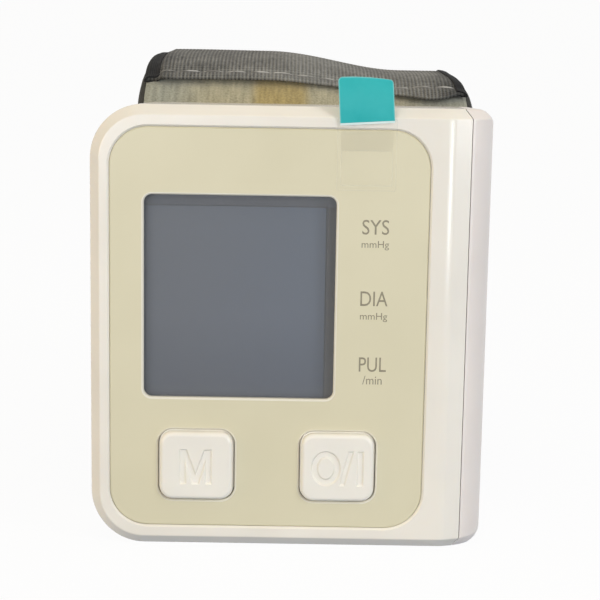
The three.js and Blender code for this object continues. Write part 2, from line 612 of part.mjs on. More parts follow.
// LCD, its holder and the rubber strip that joins it to the board
add('lcd_panel', slab(
  LCD_X, LCD_Z, LCD_WIDTH, LCD_HEIGHT, CUT_CORNER, LCD_FRONT, LCD_BACK, 1), 0x6c7073, 0.3);
const holderX = (LCD_X - LCD_WIDTH / 2 + WINDOW_X + WINDOW_WIDTH / 2) / 2;
const holderZ = (LCD_Z - LCD_HEIGHT / 2 + WINDOW_Z + WINDOW_HEIGHT / 2) / 2;
const holderWidth = WINDOW_X + WINDOW_WIDTH / 2 - LCD_X + LCD_WIDTH / 2 + 2 * HOLDER_RIM;
const holderHeight = WINDOW_Z + WINDOW_HEIGHT / 2 - LCD_Z + LCD_HEIGHT / 2 + 2 * HOLDER_RIM;
const holder = slab(
  holderX, holderZ, holderWidth, holderHeight, MOULDED_CORNER, LCD_FRONT, BOARD_FRONT - FIT, 3)
  .subtract(slab(
    LCD_X, LCD_Z, LCD_WIDTH + 2 * LAYER, LCD_HEIGHT + 2 * LAYER, CUT_CORNER,
    LCD_FRONT - FIT, LCD_BACK + FIT, 1))
  .subtract(slab(
    LCD_X, LCD_Z, LCD_WIDTH - 2 * HOLDER_LEDGE, LCD_HEIGHT - 2 * HOLDER_LEDGE, CUT_CORNER,
    LCD_BACK, BOARD_FRONT, 1));
add('lcd_holder', holder, BLACK, 0.6);
const zebraLeft = LCD_X - LCD_WIDTH / 2 + HOLDER_LEDGE + LAYER;
const zebraBottom = LCD_Z - LCD_HEIGHT / 2 + HOLDER_LEDGE + LAYER;
add('lcd_connector', box(
  zebraLeft, LCD_BACK + FIT, zebraBottom, zebraLeft + LCD_WIDTH - 2 * (HOLDER_LEDGE + LAYER),
  BOARD_FRONT - FIT, zebraBottom + ZEBRA_THICK), 0x8a8a86, 0.7);

// Board with its chip, sounder, pressure sensor and exhaust valve
add('main_board', box(
  BOARD_LEFT, BOARD_FRONT, BOARD_BOTTOM, BOARD_RIGHT, BOARD_BACK, BOARD_TOP), BOARD_GREEN, 0.5);
const chipZ = AIR_LINE_RISE + SENSOR_SIZE / 2 + BOARD_MARGIN + CHIP_SIZE / 2;
add('controller_chip', slab(
  AIR_X, chipZ, CHIP_SIZE, CHIP_SIZE, CUT_CORNER,
  BOARD_BACK + FIT, BOARD_BACK + FIT + CHIP_HEIGHT, 2), BLACK, 0.5);
add('buzzer', barY(
  BOARD_RIGHT - BUZZER_DIAMETER, BOARD_TOP - BUZZER_DIAMETER, BUZZER_DIAMETER,
  BOARD_BACK + FIT, BOARD_BACK + FIT + BUZZER_HEIGHT), BLACK, 0.5);
const SENSOR_BACK = BOARD_BACK + FIT + SENSOR_HEIGHT;
const sensor = slab(
  AIR_X, AIR_LINE_RISE, SENSOR_SIZE, SENSOR_SIZE, MOULDED_CORNER, BOARD_BACK + FIT, SENSOR_BACK, 2)
  .add(barY(AIR_X, AIR_LINE_RISE, PORT_DIAMETER, SENSOR_BACK - FIT, SENSOR_BACK + PORT_LENGTH, 12));
add('pressure_sensor', sensor, 0x3a3d42, 0.5);
const VALVE_X = BOARD_LEFT + VALVE_SIZE / 2;
const AIR_Y = SENSOR_BACK + SLIP + MANIFOLD_SIZE / 2;
const valve = slab(
  VALVE_X, AIR_LINE_RISE, VALVE_SIZE, VALVE_SIZE, MOULDED_CORNER,
  BOARD_BACK + FIT, BOARD_BACK + FIT + VALVE_DEPTH, 3)
  .add(barX(AIR_Y, AIR_LINE_RISE, PORT_DIAMETER, VALVE_X, VALVE_X + VALVE_SIZE / 2 + PORT_LENGTH, 12));
add('exhaust_valve', valve, 0x7d8288, 0.4, 0.4);

// Manifold: a block pushed on the sensor's port, with spigots for the pump, the valve and the cuff
const blockHalf = MANIFOLD_SIZE / 2;
const NOZZLE_FRONT = AIR_Y + blockHalf + SLIP;
const manifoldBody = slab(
  AIR_X, AIR_LINE_RISE, MANIFOLD_SIZE, MANIFOLD_SIZE, MOULDED_CORNER,
  AIR_Y - blockHalf, AIR_Y + blockHalf, 3)
  .add(barX(AIR_Y, AIR_LINE_RISE, PORT_DIAMETER, AIR_X - blockHalf - PORT_LENGTH, AIR_X, 12))
  .add(barZ(AIR_X, AIR_Y, PORT_DIAMETER, AIR_LINE_RISE - blockHalf - PORT_LENGTH, AIR_LINE_RISE, 12))
  .add(barY(AIR_X, AIR_LINE_RISE, PORT_DIAMETER, AIR_Y, NOZZLE_FRONT + PORT_LENGTH, 12))
  .subtract(barY(
    AIR_X, AIR_LINE_RISE, PORT_DIAMETER + 2 * LAYER, AIR_Y - blockHalf - FIT,
    SENSOR_BACK + PORT_LENGTH + LAYER, 12));
add('air_manifold', manifoldBody, RUBBER, 0.5);

// Pump along the bottom of the case: motor in a soft sleeve, diaphragm head with an upward port
const SLEEVE_DIAMETER = MOTOR_DIAMETER + 2 * (LAYER + SLEEVE_WALL);
const PUMP_Y = BOARD_BACK + SLIP + SLEEVE_DIAMETER / 2;
const PUMP_Z = CASE_WALL + SLIP + SLEEVE_DIAMETER / 2;
const SLEEVE_LEFT = MOTOR_LEFT + (MOTOR_LENGTH - SLEEVE_LENGTH) / 2;
add('pump_motor', barX(PUMP_Y, PUMP_Z, MOTOR_DIAMETER, MOTOR_LEFT, MOTOR_RIGHT), STEEL, 0.35, 0.9);
add('pump_sleeve', barX(PUMP_Y, PUMP_Z, SLEEVE_DIAMETER, SLEEVE_LEFT, SLEEVE_LEFT + SLEEVE_LENGTH)
  .subtract(barX(PUMP_Y, PUMP_Z, MOTOR_DIAMETER + 2 * LAYER, SLEEVE_LEFT - FIT, MOTOR_RIGHT)), BLACK, 0.8);
const HEAD_TOP = PUMP_Z + PUMP_HEAD_DIAMETER / 2;
add('pump_head', barX(PUMP_Y, PUMP_Z, PUMP_HEAD_DIAMETER, HEAD_LEFT, HEAD_LEFT + PUMP_HEAD_LENGTH)
  .add(barZ(AIR_X, AIR_Y, PORT_DIAMETER, PUMP_Z, HEAD_TOP + PORT_LENGTH, 12)), 0x4a4d52, 0.5);

// Soft tubes pushed over the ports
function tube(alongX, from, to) {
  const length = to - from;
  const wall = new THREE.Shape().absarc(0, 0, TUBE_OUTER / 2, 0, 2 * Math.PI);
  wall.holes.push(new THREE.Path().absarc(0, 0, TUBE_INNER / 2, 0, 2 * Math.PI, true));
  const pipe = new THREE.ExtrudeGeometry(wall, { depth: length, bevelEnabled: false, curveSegments: 12 });
  const placed = alongX
    ? pipe.rotateY(Math.PI / 2).translate(from, AIR_Y, AIR_LINE_RISE)
    : pipe.translate(AIR_X, AIR_Y, from);
  return solid(placed);
}
add('pump_tube', tube(false, HEAD_TOP + LAYER, AIR_LINE_RISE - blockHalf - LAYER), RUBBER, 0.45);
add('valve_tube', tube(true, VALVE_X + VALVE_SIZE / 2 + LAYER, AIR_X - blockHalf - LAYER), RUBBER, 0.45);

// Battery tray with two AAA cells, head to tail, and their contacts
const trayRight = SEAM_X - END_WALL - FIT;
const tray = box(
  TRAY_LEFT, INNER_FACE + FIT, BAY_BOTTOM - TRAY_WALL, trayRight, TRAY_BACK, BAY_TOP + TRAY_WALL)
  .subtract(box(TRAY_LEFT + TRAY_WALL, -FAR, BAY_BOTTOM, FAR, FAR, BAY_TOP));
add('battery_tray', tray, IVORY, 0.5);

function cell(y, z, turned) {
  const r = CELL_DIAMETER / 2;
  const nub = CELL_NUB_DIAMETER / 2;
  const shoulder = CELL_LENGTH - CELL_NUB;
  const profile = [
    [0, 0], [r - CELL_SHOULDER, 0], [r, CELL_SHOULDER], [r, shoulder - CELL_SHOULDER],
    [r - CELL_SHOULDER, shoulder], [nub, shoulder], [nub, CELL_LENGTH - CELL_NUB_EDGE],
    [nub - CELL_NUB_EDGE, CELL_LENGTH], [0, CELL_LENGTH],
  ].map(([radius, height]) => new THREE.Vector2(radius, height));
  const geometry = new THREE.LatheGeometry(profile, 24).rotateX(Math.PI / 2);
  if (turned) {
    geometry.rotateX(Math.PI).translate(0, 0, CELL_LENGTH);
  }
  return solid(geometry.translate(CELL_X, y, z));
}
const SPRING_ROOM = CONTACT_THICK + 2 * FIT + SPRING_HEIGHT;
add('battery_front', cell(FRONT_CELL_Y, BAY_BOTTOM + SPRING_ROOM, false), 0x3f4a55, 0.4, 0.3);
add('battery_rear', cell(REAR_CELL_Y, BAY_BOTTOM + CONTACT_THICK + 2 * FIT, true), 0x3f4a55, 0.4, 0.3);

function contact(y0, y1, z) {
  return box(
    CELL_X - CONTACT_WIDTH / 2, y0, z, CELL_X + CONTACT_WIDTH / 2, y1, z + CONTACT_THICK);
}
const half = CONTACT_WIDTH / 2;
const topContact = BAY_TOP - FIT - CONTACT_THICK;
const bottomContact = BAY_BOTTOM + FIT;
add('positive_terminal', contact(FRONT_CELL_Y - half, FRONT_CELL_Y + half, topContact), STEEL, 0.3, 1);
add('negative_terminal', contact(REAR_CELL_Y - half, REAR_CELL_Y + half, topContact), STEEL, 0.3, 1);
add('bridge_contact', contact(FRONT_CELL_Y - half, REAR_CELL_Y + half, bottomContact), STEEL, 0.3, 1);

// Conical coil spring standing on a contact, from its base to its tip
class SpringCurve extends THREE.Curve {
  getPoint(t, target = new THREE.Vector3()) {
    const angle = 2 * Math.PI * SPRING_TURNS * t;
    const radius = SPRING_BASE_RADIUS + (SPRING_TIP_RADIUS - SPRING_BASE_RADIUS) * t;
    const lift = SPRING_WIRE / 2 + (SPRING_HEIGHT - SPRING_WIRE - 2 * FIT) * t;
    return target.set(radius * Math.cos(angle), radius * Math.sin(angle), lift);
  }
}
const coil = new SpringCurve();
function spring(y, z, down) {
  const wire = new THREE.Shape().absarc(0, 0, SPRING_WIRE / 2, 0, 2 * Math.PI);
  const geometry = new THREE.ExtrudeGeometry(wire, {
    steps: Math.ceil(8 * SPRING_TURNS), curveSegments: 5, extrudePath: coil, bevelEnabled: false,
  });
  if (down) {
    geometry.rotateX(Math.PI);
  }
  return solid(geometry.translate(CELL_X, y, z));
}
add('bridge_spring', spring(FRONT_CELL_Y, bottomContact + CONTACT_THICK + FIT, false), STEEL, 0.3, 1);
add('negative_spring', spring(REAR_CELL_Y, topContact - FIT, true), STEEL, 0.3, 1);

// Least gap between the turns of the spring, measured between points more than half a turn apart
const coilPoints = coil.getPoints(200);
let coilGap = Infinity;
coilPoints.forEach((point, i) => {
  coilPoints.slice(i + Math.ceil(100 / SPRING_TURNS)).forEach((other) => {
    coilGap = Math.min(coilGap, point.distanceTo(other) - SPRING_WIRE);
  });
});
console.log(`least gap between spring turns ${coilGap.toFixed(2)} mm`);

// Case screws from the back, and anchor screws from inside the case into the cuff's anchor plate
for (const [name, [x, z]] of Object.entries(CASE_SCREWS)) {
  add(name, barY(x, z, SCREW_HEAD, SCREW_SEAT + FIT, SCREW_SEAT + FIT + SCREW_HEAD_HEIGHT, 16)
    .add(barY(x, z, SCREW_SHANK, SCREW_TIP, SCREW_SEAT + 2 * FIT, 12)), STEEL, 0.35, 1);
}
// Where the front of the cuff lies at a height, and a depth behind its outer face
function cuffFrontY(z, depth) {
  const share = Math.abs(z - LOOP_Z) / (LOOP_HEIGHT / 2);
  const forward = (LOOP_DEPTH / 2) * (1 - share ** LOOP_SQUARENESS) ** (1 / LOOP_SQUARENESS);
  return LOOP_Y - forward + depth;
}
for (const [name, [x, z]] of Object.entries(ANCHORS)) {
  const wall = cuffFrontY(z, -SLIP - CASE_WALL);
  const headBack = wall - 2 * SLIP;
  const tip = cuffFrontY(z, ANCHOR_DEPTH);
  add(name, barY(x, z, ANCHOR_HEAD, headBack - ANCHOR_HEAD_HEIGHT, headBack, 16)
    .add(barY(x, z, ANCHOR_SHANK, headBack - FIT, tip, 12)), STEEL, 0.35, 1);
}

// Cuff layers from the outside in
const INNER_FROM = HINGE_ANGLE + INNER_MARGIN_ANGLE;
const INNER_TO = SHORT_END_ANGLE - INNER_MARGIN_ANGLE;
const INNER_LEFT = COVER_LEFT + CUFF_EDGE;
const INNER_RIGHT = COVER_RIGHT - CUFF_EDGE;
const TAIL_LEFT = COVER_LEFT + TAIL_INSET;
const TAIL_RIGHT = COVER_RIGHT - TAIL_INSET;
const nozzleBore = barY(AIR_X, AIR_LINE_RISE, NOZZLE_HOLE, FRONT, LOOP_Y);
let cover = cuffLayer(
  HINGE_ANGLE, SHORT_END_ANGLE, drawnIn(COVER_LEFT, COVER_RIGHT, 0, COVER_THICK, CUFF_EDGE_DROP))
  .subtract(nozzleBore);
for (const [x, z] of Object.values(ANCHORS)) {
  cover = cover.subtract(barY(x, z, ANCHOR_BOSS + 2 * LAYER, FRONT, LOOP_Y));
}
add('cuff_cover', cover, CLOTH, 0.95);

// Anchor plate inside the cuff: its bosses pass through the cover and meet the rear cover
const anchorReach = ANCHOR_SPREAD_Z / 2 + ANCHOR_BOSS / 2 + ANCHOR_RIM;
const anchorAngle = THREE.MathUtils.radToDeg(Math.asin(anchorReach / (LOOP_DEPTH / 2)));
const anchorHalf = ANCHOR_SPREAD_X / 2 + ANCHOR_BOSS / 2 + ANCHOR_RIM;
let anchor = flatLayer(
  -anchorAngle, anchorAngle, ANCHOR_X - anchorHalf, ANCHOR_X + anchorHalf, ANCHOR_DEPTH, ANCHOR_THICK);
for (const [x, z] of Object.values(ANCHORS)) {
  const bossBack = cuffFrontY(z, ANCHOR_DEPTH + ANCHOR_THICK / 2);
  anchor = anchor.add(barY(x, z, ANCHOR_BOSS, FRONT, bossBack).intersect(saddle(SLIP / 2)));
}
anchor = anchor.subtract(nozzleBore);
for (const [x, z] of Object.values(ANCHORS)) {
  anchor = anchor.subtract(barY(x, z, ANCHOR_SHANK + SLIP, FRONT, cuffFrontY(z, ANCHOR_DEPTH) + LAYER, 12));
}
add('cuff_anchor', anchor, BLACK, 0.5);

add('cuff_stiffener', flatLayer(
  INNER_FROM, INNER_TO, INNER_LEFT, INNER_RIGHT, STIFFENER_DEPTH, STIFFENER_THICK)
  .subtract(nozzleBore), 0xc9c9c4, 0.4);

// Air bladder with its nozzle, which reaches through the cuff and the rear cover to the manifold
const bladderNozzle = barY(
  AIR_X, AIR_LINE_RISE, TUBE_OUTER, NOZZLE_FRONT, cuffFrontY(AIR_LINE_RISE, BLADDER_DEPTH) + BLADDER_THICK / 2)
  .subtract(barY(AIR_X, AIR_LINE_RISE, TUBE_INNER, NOZZLE_FRONT - FIT, NOZZLE_FRONT + PORT_LENGTH + SLIP));
add('air_bladder', flatLayer(
  INNER_FROM, INNER_TO, INNER_LEFT, INNER_RIGHT, BLADDER_DEPTH, BLADDER_THICK).add(bladderNozzle), 0x4b4b4b, 0.7);

add('cuff_lining', cuffLayer(
  HINGE_ANGLE, SHORT_END_ANGLE,
  drawnIn(COVER_LEFT, COVER_RIGHT, LINING_DEPTH, LINING_THICK, -CUFF_EDGE_DROP)), 0x55534f, 0.95);
const bindingDepth = CUFF_THICK - 2 * CUFF_EDGE_DROP;
add('cuff_binding_left', flatLayer(
  HINGE_ANGLE, SHORT_END_ANGLE, CUFF_LEFT, CUFF_LEFT + BINDING_WIDTH, CUFF_EDGE_DROP, bindingDepth), BLACK, 0.9);
add('cuff_binding_right', flatLayer(
  HINGE_ANGLE, SHORT_END_ANGLE, CUFF_RIGHT - BINDING_WIDTH, CUFF_RIGHT, CUFF_EDGE_DROP, bindingDepth), BLACK, 0.9);

// Loop pile panel on the cover, and the tail that laps over it with its hook patch
add('loop_panel', cuffLayer(PANEL_START_ANGLE, SHORT_END_ANGLE, drawnIn(
  COVER_LEFT, COVER_RIGHT, -PANEL_RISE, LOOP_PANEL_THICK, CUFF_EDGE_DROP)), PILE, 0.95);
add('hook_patch', flatLayer(
  HOOK_END_ANGLE, SHORT_END_ANGLE, TAIL_LEFT + CUFF_EDGE, TAIL_RIGHT - CUFF_EDGE,
  -HOOK_RISE, HOOK_THICK), BLACK, 0.95);
const TAIL_FROM = HINGE_ANGLE + 360;
const hingeGapAngle = THREE.MathUtils.radToDeg(SLIP / (LOOP_DEPTH / 2));
function tailLift(angle) {
  return TAIL_RISE * THREE.MathUtils.smoothstep(TAIL_FROM - angle, 0, TAIL_FROM - LAP_ANGLE);
}
add('cuff_tail', cuffLayer(
  TAIL_FROM - hingeGapAngle, HEM_ANGLE, drawnIn(TAIL_LEFT, TAIL_RIGHT, 0, TAIL_THICK, CUFF_EDGE_DROP),
  tailLift), CLOTH, 0.95);

// Clear film on the face, and its pull tab that stands up past the top edge
const filmRight = PLATE_RIGHT - FILM_RIGHT;
const filmLeft = filmRight - FILM_WIDTH;
const filmTop = CASE_HEIGHT - FILM_DROP;
const filmBack = FRONT - FIT;
add('protective_film', slab(
  (filmLeft + filmRight) / 2, filmTop - FILM_HEIGHT / 2, FILM_WIDTH, FILM_HEIGHT, MOULDED_CORNER,
  filmBack - FILM_THICK, filmBack, 2), 0xe6ecec, 0.1);
const tabBottom = filmTop - TAB_LAP;
const tabFront = filmBack - 2 * FILM_THICK - FIT;
const tabOutline = new THREE.Shape();
tabOutline.moveTo(-TAB_WIDTH / 2, 0);
tabOutline.lineTo(TAB_WIDTH / 2, 0);
tabOutline.lineTo(TAB_WIDTH / 2, TAB_RISE - TAB_CORNER);
tabOutline.absarc(TAB_WIDTH / 2 - TAB_CORNER, TAB_RISE - TAB_CORNER, TAB_CORNER, 0, Math.PI / 2);
tabOutline.absarc(TAB_CORNER - TAB_WIDTH / 2, TAB_RISE - TAB_CORNER, TAB_CORNER, Math.PI / 2, Math.PI);
tabOutline.closePath();
const tab = new THREE.ExtrudeGeometry(tabOutline, { depth: FILM_THICK, bevelEnabled: false, curveSegments: 4 });
tab.rotateX(Math.PI / 2 + Math.atan2(TAB_LEAN, TAB_RISE));
add('film_tab', solid(tab.translate(
  (filmLeft + filmRight) / 2, tabFront + FILM_THICK - FIT, tabBottom)), 0x2fb3b3, 0.35);

export default group;
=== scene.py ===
"""Wrist blood pressure monitor: its looks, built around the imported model.

Metres, in the model's frame: X to the right of the display, Y from the display to the wrist, Z up.
Lengths below are in millimetres and angles round the cuff in degrees, apart from the lamps' metres.
"""

import math

import bpy
import numpy as np
from mathutils import Matrix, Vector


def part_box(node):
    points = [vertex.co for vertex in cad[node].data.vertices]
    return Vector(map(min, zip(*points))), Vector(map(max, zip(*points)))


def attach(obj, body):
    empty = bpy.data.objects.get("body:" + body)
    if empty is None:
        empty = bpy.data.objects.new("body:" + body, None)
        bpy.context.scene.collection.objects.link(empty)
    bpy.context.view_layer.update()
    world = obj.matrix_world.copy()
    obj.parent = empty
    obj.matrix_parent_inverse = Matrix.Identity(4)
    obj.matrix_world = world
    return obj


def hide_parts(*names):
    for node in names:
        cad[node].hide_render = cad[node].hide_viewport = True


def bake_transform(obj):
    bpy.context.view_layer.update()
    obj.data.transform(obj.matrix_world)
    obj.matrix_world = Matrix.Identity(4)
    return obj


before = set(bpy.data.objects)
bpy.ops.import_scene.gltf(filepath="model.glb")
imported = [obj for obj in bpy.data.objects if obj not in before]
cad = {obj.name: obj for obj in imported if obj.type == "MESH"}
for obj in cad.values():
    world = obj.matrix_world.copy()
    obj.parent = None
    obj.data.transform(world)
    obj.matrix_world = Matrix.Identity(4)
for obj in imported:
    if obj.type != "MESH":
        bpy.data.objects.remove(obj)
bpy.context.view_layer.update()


# Camera: a long lens in front of the display, a little above it and very slightly rolled,
# as the product is seen when it is held at arm's length.
MM = 0.001
CAMERA_PLACE = np.array((0.815, -296.6, 95.52)) * MM
CAMERA_TURN = math.radians(-0.16)
CAMERA_RISE = math.radians(10.45)
CAMERA_ROLL = math.radians(0.97)
FOCAL_LENGTH, SENSOR_WIDTH = 102.0, 36.0
NEAREST = 10.0


def shown(name, data):
    """New object in the scene."""
    made = bpy.data.objects.new(name, data)
    bpy.context.scene.collection.objects.link(made)
    return made


def aimed(right, up, back, place):
    """World matrix of a lens or a lamp, from its axes and its place."""
    return Matrix(np.vstack((np.column_stack((right, up, back, place)), (0, 0, 0, 1))).tolist())


backward = np.array((
    math.sin(CAMERA_TURN) * math.cos(CAMERA_RISE),
    -math.cos(CAMERA_TURN) * math.cos(CAMERA_RISE),
    math.sin(CAMERA_RISE)))
level = np.array((math.cos(CAMERA_TURN), math.sin(CAMERA_TURN), 0.0))
sideways = level * math.cos(CAMERA_ROLL) + np.cross(backward, level) * math.sin(CAMERA_ROLL)
lens = bpy.data.cameras.new("camera")
lens.lens = FOCAL_LENGTH
lens.sensor_width = SENSOR_WIDTH
lens.clip_start = NEAREST * MM
camera = shown("camera", lens)
camera.matrix_world = aimed(sideways, np.cross(backward, sideways), backward, CAMERA_PLACE)
bpy.context.scene.camera = camera
bpy.context.scene.view_settings.view_transform = "Standard"


# Studio: a soft surround, warmer at the left, a warm lamp overhead, a wide fill left of the lens, a
# warm lamp at the left and a tall one at the right. A thin lamp that lights only gloss draws the
# line down the rolled edge. The floor is white paper, which keeps a faint shadow.
AMBIENT = 0.5
SEEN_WHITE = 1.0
WHITE = (1.0, 1.0, 1.0, 1.0)
LEFT_TONE, RIGHT_TONE = (0.68, 0.54, 0.34, 1.0), (1.0, 0.99, 0.97, 1.0)
TONE_REACH = (-1.0, 0.3)
PAPER_GLOW = 0.95
PAPER_BOUNCE = (0.10, 0.15, 0.25, 1.0)
PAPER_WHITE = (0.95, 0.95, 0.95, 1.0)
PAPER_SIZE = 60.0
GLOSS_LAMP = "edge_line"
MIDDLE = (0.0, 0.0, 0.04)
# Each lamp: name, place, width, height, watts, the point it faces and its tint.
LAMPS = (
    ("overhead", (-0.03, -0.06, 0.5), 0.5, 0.35, 0.17, MIDDLE, (1.0, 0.84, 0.46)),
    ("fill", (-0.34, -0.8, 0.12), 0.6, 0.22, 3.28, (0.0, 0.0, 0.03), (1.0, 1.0, 1.0)),
    ("warm_side", (-0.58, -0.14, 0.12), 0.3, 0.3, 0.75, MIDDLE, (1.0, 0.72, 0.32)),
    ("edge_strip", (0.48, -0.38, 0.25), 0.16, 0.5, 1.75, (0.03, 0.0, 0.04), (0.95, 0.97, 1.0)),
    (GLOSS_LAMP, (0.084, -0.203, 0.042), 0.006, 0.044, 0.05, (0.026, -0.015, 0.06),
     (0.85, 0.96, 1.0)))


def fed(tree, made, inputs):
    """Gives a node its inputs, by name or number: a socket is linked and a value is set."""
    for key, value in inputs.items():
        if isinstance(value, bpy.types.NodeSocket):
            tree.links.new(value, made.inputs[key])
        else:
            made.inputs[key].default_value = value
    return made


def node(tree, kind, inputs, **settings):
    """New shader node with its settings and inputs."""
    made = tree.nodes.new(f"ShaderNode{kind}")
    for key, value in settings.items():
        setattr(made, key, value)
    return fed(tree, made, inputs)


def reckoned(tree, operation, *values):
    """Math node's result."""
    return node(tree, "Math", dict(enumerate(values)), operation=operation).outputs[0]


def mixed(tree, factor, first, second):
    """The first colour where the factor is 0, and the second where it is 1."""
    inputs = {"Factor": factor, "A": first, "B": second}
    return node(tree, "Mix", inputs, data_type="RGBA").outputs["Result"]


def risen(tree, value, low, high, way="LINEAR"):
    """0 where a value is at or below its low end, rising to 1 at its high end."""
    inputs = {"Value": value, "From Min": low, "From Max": high}
    return node(tree, "MapRange", inputs, interpolation_type=way).outputs["Result"]


def axis_of(tree, place, axis):
    """One coordinate of a place."""
    return node(tree, "SeparateXYZ", {0: place}).outputs[axis]


def coordinates(tree, kind="Object"):
    """Place on the piece in metres, or for the surround the way that is faced."""
    return node(tree, "TexCoord", {}).outputs[kind]


def seen_directly(tree):
    """1 for what the lens, a mirror or a clear pane looks at, and 0 for light."""
    path = node(tree, "LightPath", {}).outputs
    seen = reckoned(tree, "MAXIMUM", path["Is Camera Ray"], path["Is Glossy Ray"])
    return reckoned(tree, "MAXIMUM", seen, path["Is Transmission Ray"])


def closed(tree, end, factor, lit, white):
    """Ends a tree with a share of the white shader over the lit one."""
    both = node(tree, "MixShader", {"Fac": factor, 1: lit.outputs[0], 2: white.outputs[0]})
    fed(tree, tree.nodes[end], {"Surface": both.outputs[0]})


def finish(name, look):
    """New material; look makes its nodes and gives the inputs of its Principled shader."""
    material = bpy.data.materials.new(name)
    material.use_nodes = True
    tree = material.node_tree
    fed(tree, tree.nodes["Principled BSDF"], look(tree))
    return material


world = bpy.data.worlds.new("surround")
bpy.context.scene.world = world
world.use_nodes = True
sky = world.node_tree
rightward = risen(sky, axis_of(sky, coordinates(sky, "Generated"), "X"), *TONE_REACH)
dim = fed(sky, sky.nodes["Background"], {
    "Color": mixed(sky, rightward, LEFT_TONE, RIGHT_TONE), "Strength": AMBIENT})
bright = node(sky, "Background", {"Color": WHITE, "Strength": SEEN_WHITE})
closed(sky, "World Output", seen_directly(sky), dim, bright)

for name, place, width, height, watts, aim, tint in LAMPS:
    light = bpy.data.lights.new(name, "AREA")
    light.shape = "RECTANGLE"
    light.size, light.size_y = width, height
    light.energy, light.color = watts, tint
    away = np.subtract(place, aim)
    away /= np.linalg.norm(away)
    across = np.cross((0.0, 0.0, 1.0), away)
    across /= np.linalg.norm(across)
    lamp = shown(name, light)
    lamp.matrix_world = aimed(across, np.cross(away, across), away, place)
    lamp.visible_diffuse = name != GLOSS_LAMP

paper = finish("white_paper", lambda tree: {
    "Base Color": mixed(tree, seen_directly(tree), PAPER_BOUNCE, PAPER_WHITE),
    "Roughness": 0.9, "Specular IOR Level": 0.0})
sheet = paper.node_tree
glow = node(sheet, "Emission", {"Strength": SEEN_WHITE})
glowing = reckoned(sheet, "MULTIPLY", seen_directly(sheet), PAPER_GLOW)
closed(sheet, "Material Output", glowing, sheet.nodes["Principled BSDF"], glow)
half = PAPER_SIZE / 2
floor_mesh = bpy.data.meshes.new("paper_floor")
floor_mesh.from_pydata(
    [(-half, -half, 0), (half, -half, 0), (half, half, 0), (-half, half, 0)], [], [(0, 1, 2, 3)])
floor_mesh.materials.append(paper)
paper_floor = shown("paper_floor", floor_mesh)


# Front cover: the moulded ivory frame round the face, with a rebate for the face plate, a chamfered
# front edge, large corners on the left and a broad roll into the battery cover on the right.
FIT, PRESS, SLIP, SEAM = 0.05, 0.025, 0.3, 0.25
CASE_LEFT, CASE_RIGHT = -34.0, 34.0
CASE_FRONT, CASE_BACK = -14.825, 14.825
CASE_HEIGHT = 76.05
TOP_FALL = 1.6
FRONT_EDGE, FRONT_DEEP, FRONT_ROUND = 1.9, 1.35, 0.45
REAR_EDGE, RIGHT_ROLL = 2.5, 8.5
LEFT_CORNER, RIGHT_CORNER, RIGHT_SPAN = 9.2, 3.3, 6.5
WALL, END_WALL = 1.8, 1.6
PARTING = -4.325
SEAM_X, SEAM_LEAN = 29.83, 1.1
INNER_FACE = -11.975
WAIST_BACK = 11.825
BAY_BOTTOM, BAY_TOP = 13.275, 62.775
PLATE_FRONT, PLATE_BACK = -14.625, -13.625
LIP, LENS_RIM = 0.38, 1.0
LOOP_Y, LOOP_Z = 47.125, 39.85
LOOP_HALF_DEPTH, LOOP_HALF_HEIGHT = 35.0, 39.85
LOOP_SQUARENESS = 2.8
FAR, HAIR = 300.0, 0.001
# Outlines on the face: centre along X and Z, width, height and corner radius.
PLATE = (-3.75, 38.0, 53.65, 68.7, 6.5)
WINDOW = (-8.65, 43.67, 32.3, 34.75, 1.4)
BUTTONS = {"memory": (-15.72, 14.45, 12.5, 11.9, 2.2), "power": (8.47, 14.45, 12.5, 11.9, 2.2)}
# Boxes taken out of the case: the least and then the greatest X, Y and Z.
INNER_ROOM = (-FAR, INNER_FACE, -FAR, SEAM_X - END_WALL, FAR, FAR)
BAY_ROOM = (SEAM_X - 2 * END_WALL, INNER_FACE, BAY_BOTTOM, FAR, WAIST_BACK - WALL, BAY_TOP)
# Finish of moulded plastic, and the angle in degrees above which an edge stays a crease.
TONE_SPREAD, GLOSS_SPREAD = 0.03, 0.06
PLASTIC_GRAIN = 0.004
CREASE = 34.0


def rounded_outline(x0, z0, x1, z1, left, right, steps):
    """Rectangles with rounded corners, one for each entry of the arguments: four quarter circles,
    each centre plus radius times (cos t, sin t), joined by straight sides. Shape (count, 4n, 2)."""
    x0, z0, x1, z1, left, right = np.broadcast_arrays(*np.atleast_1d(x0, z0, x1, z1, left, right))
    centre_x = np.stack((x1 - right, x1 - right, x0 + left, x0 + left), 1)[..., None]
    centre_z = np.stack((z0 + right, z1 - right, z1 - left, z0 + left), 1)[..., None]
    radius = np.stack((right, right, left, left), 1)[..., None]
    turn = np.radians(np.arange(-90, 270, 90)[:, None] + np.linspace(0, 90, steps + 1))
    points = np.stack((centre_x + radius * np.cos(turn), centre_z + radius * np.sin(turn)), -1)
    return points.reshape(len(x0), -1, 2)


def rings_at(outlines, depths):
    """Outlines in X and Z, or one for all, set at their depths along Y."""
    depths = np.asarray(depths, float)[:, None]
    return np.stack(np.broadcast_arrays(outlines[..., 0], depths, outlines[..., 1]), -1)


def circle(sides):
    """Unit circle: (cos t, sin t) for t from 0 up to 2 pi."""
    turn = np.linspace(0, 2 * np.pi, sides, endpoint=False)
    return np.stack((np.cos(turn), np.sin(turn)), -1)


def strip_faces(rows, columns):
    """Quads of a grid of points, row after row, each row joined end to start."""
    grid = np.arange(rows * columns).reshape(rows, columns)
    grid = np.hstack((grid, grid[:, :1]))
    quads = np.stack((grid[:-1, :-1], grid[:-1, 1:], grid[1:, 1:], grid[1:, :-1]), -1)
    return quads.reshape(-1, 4)


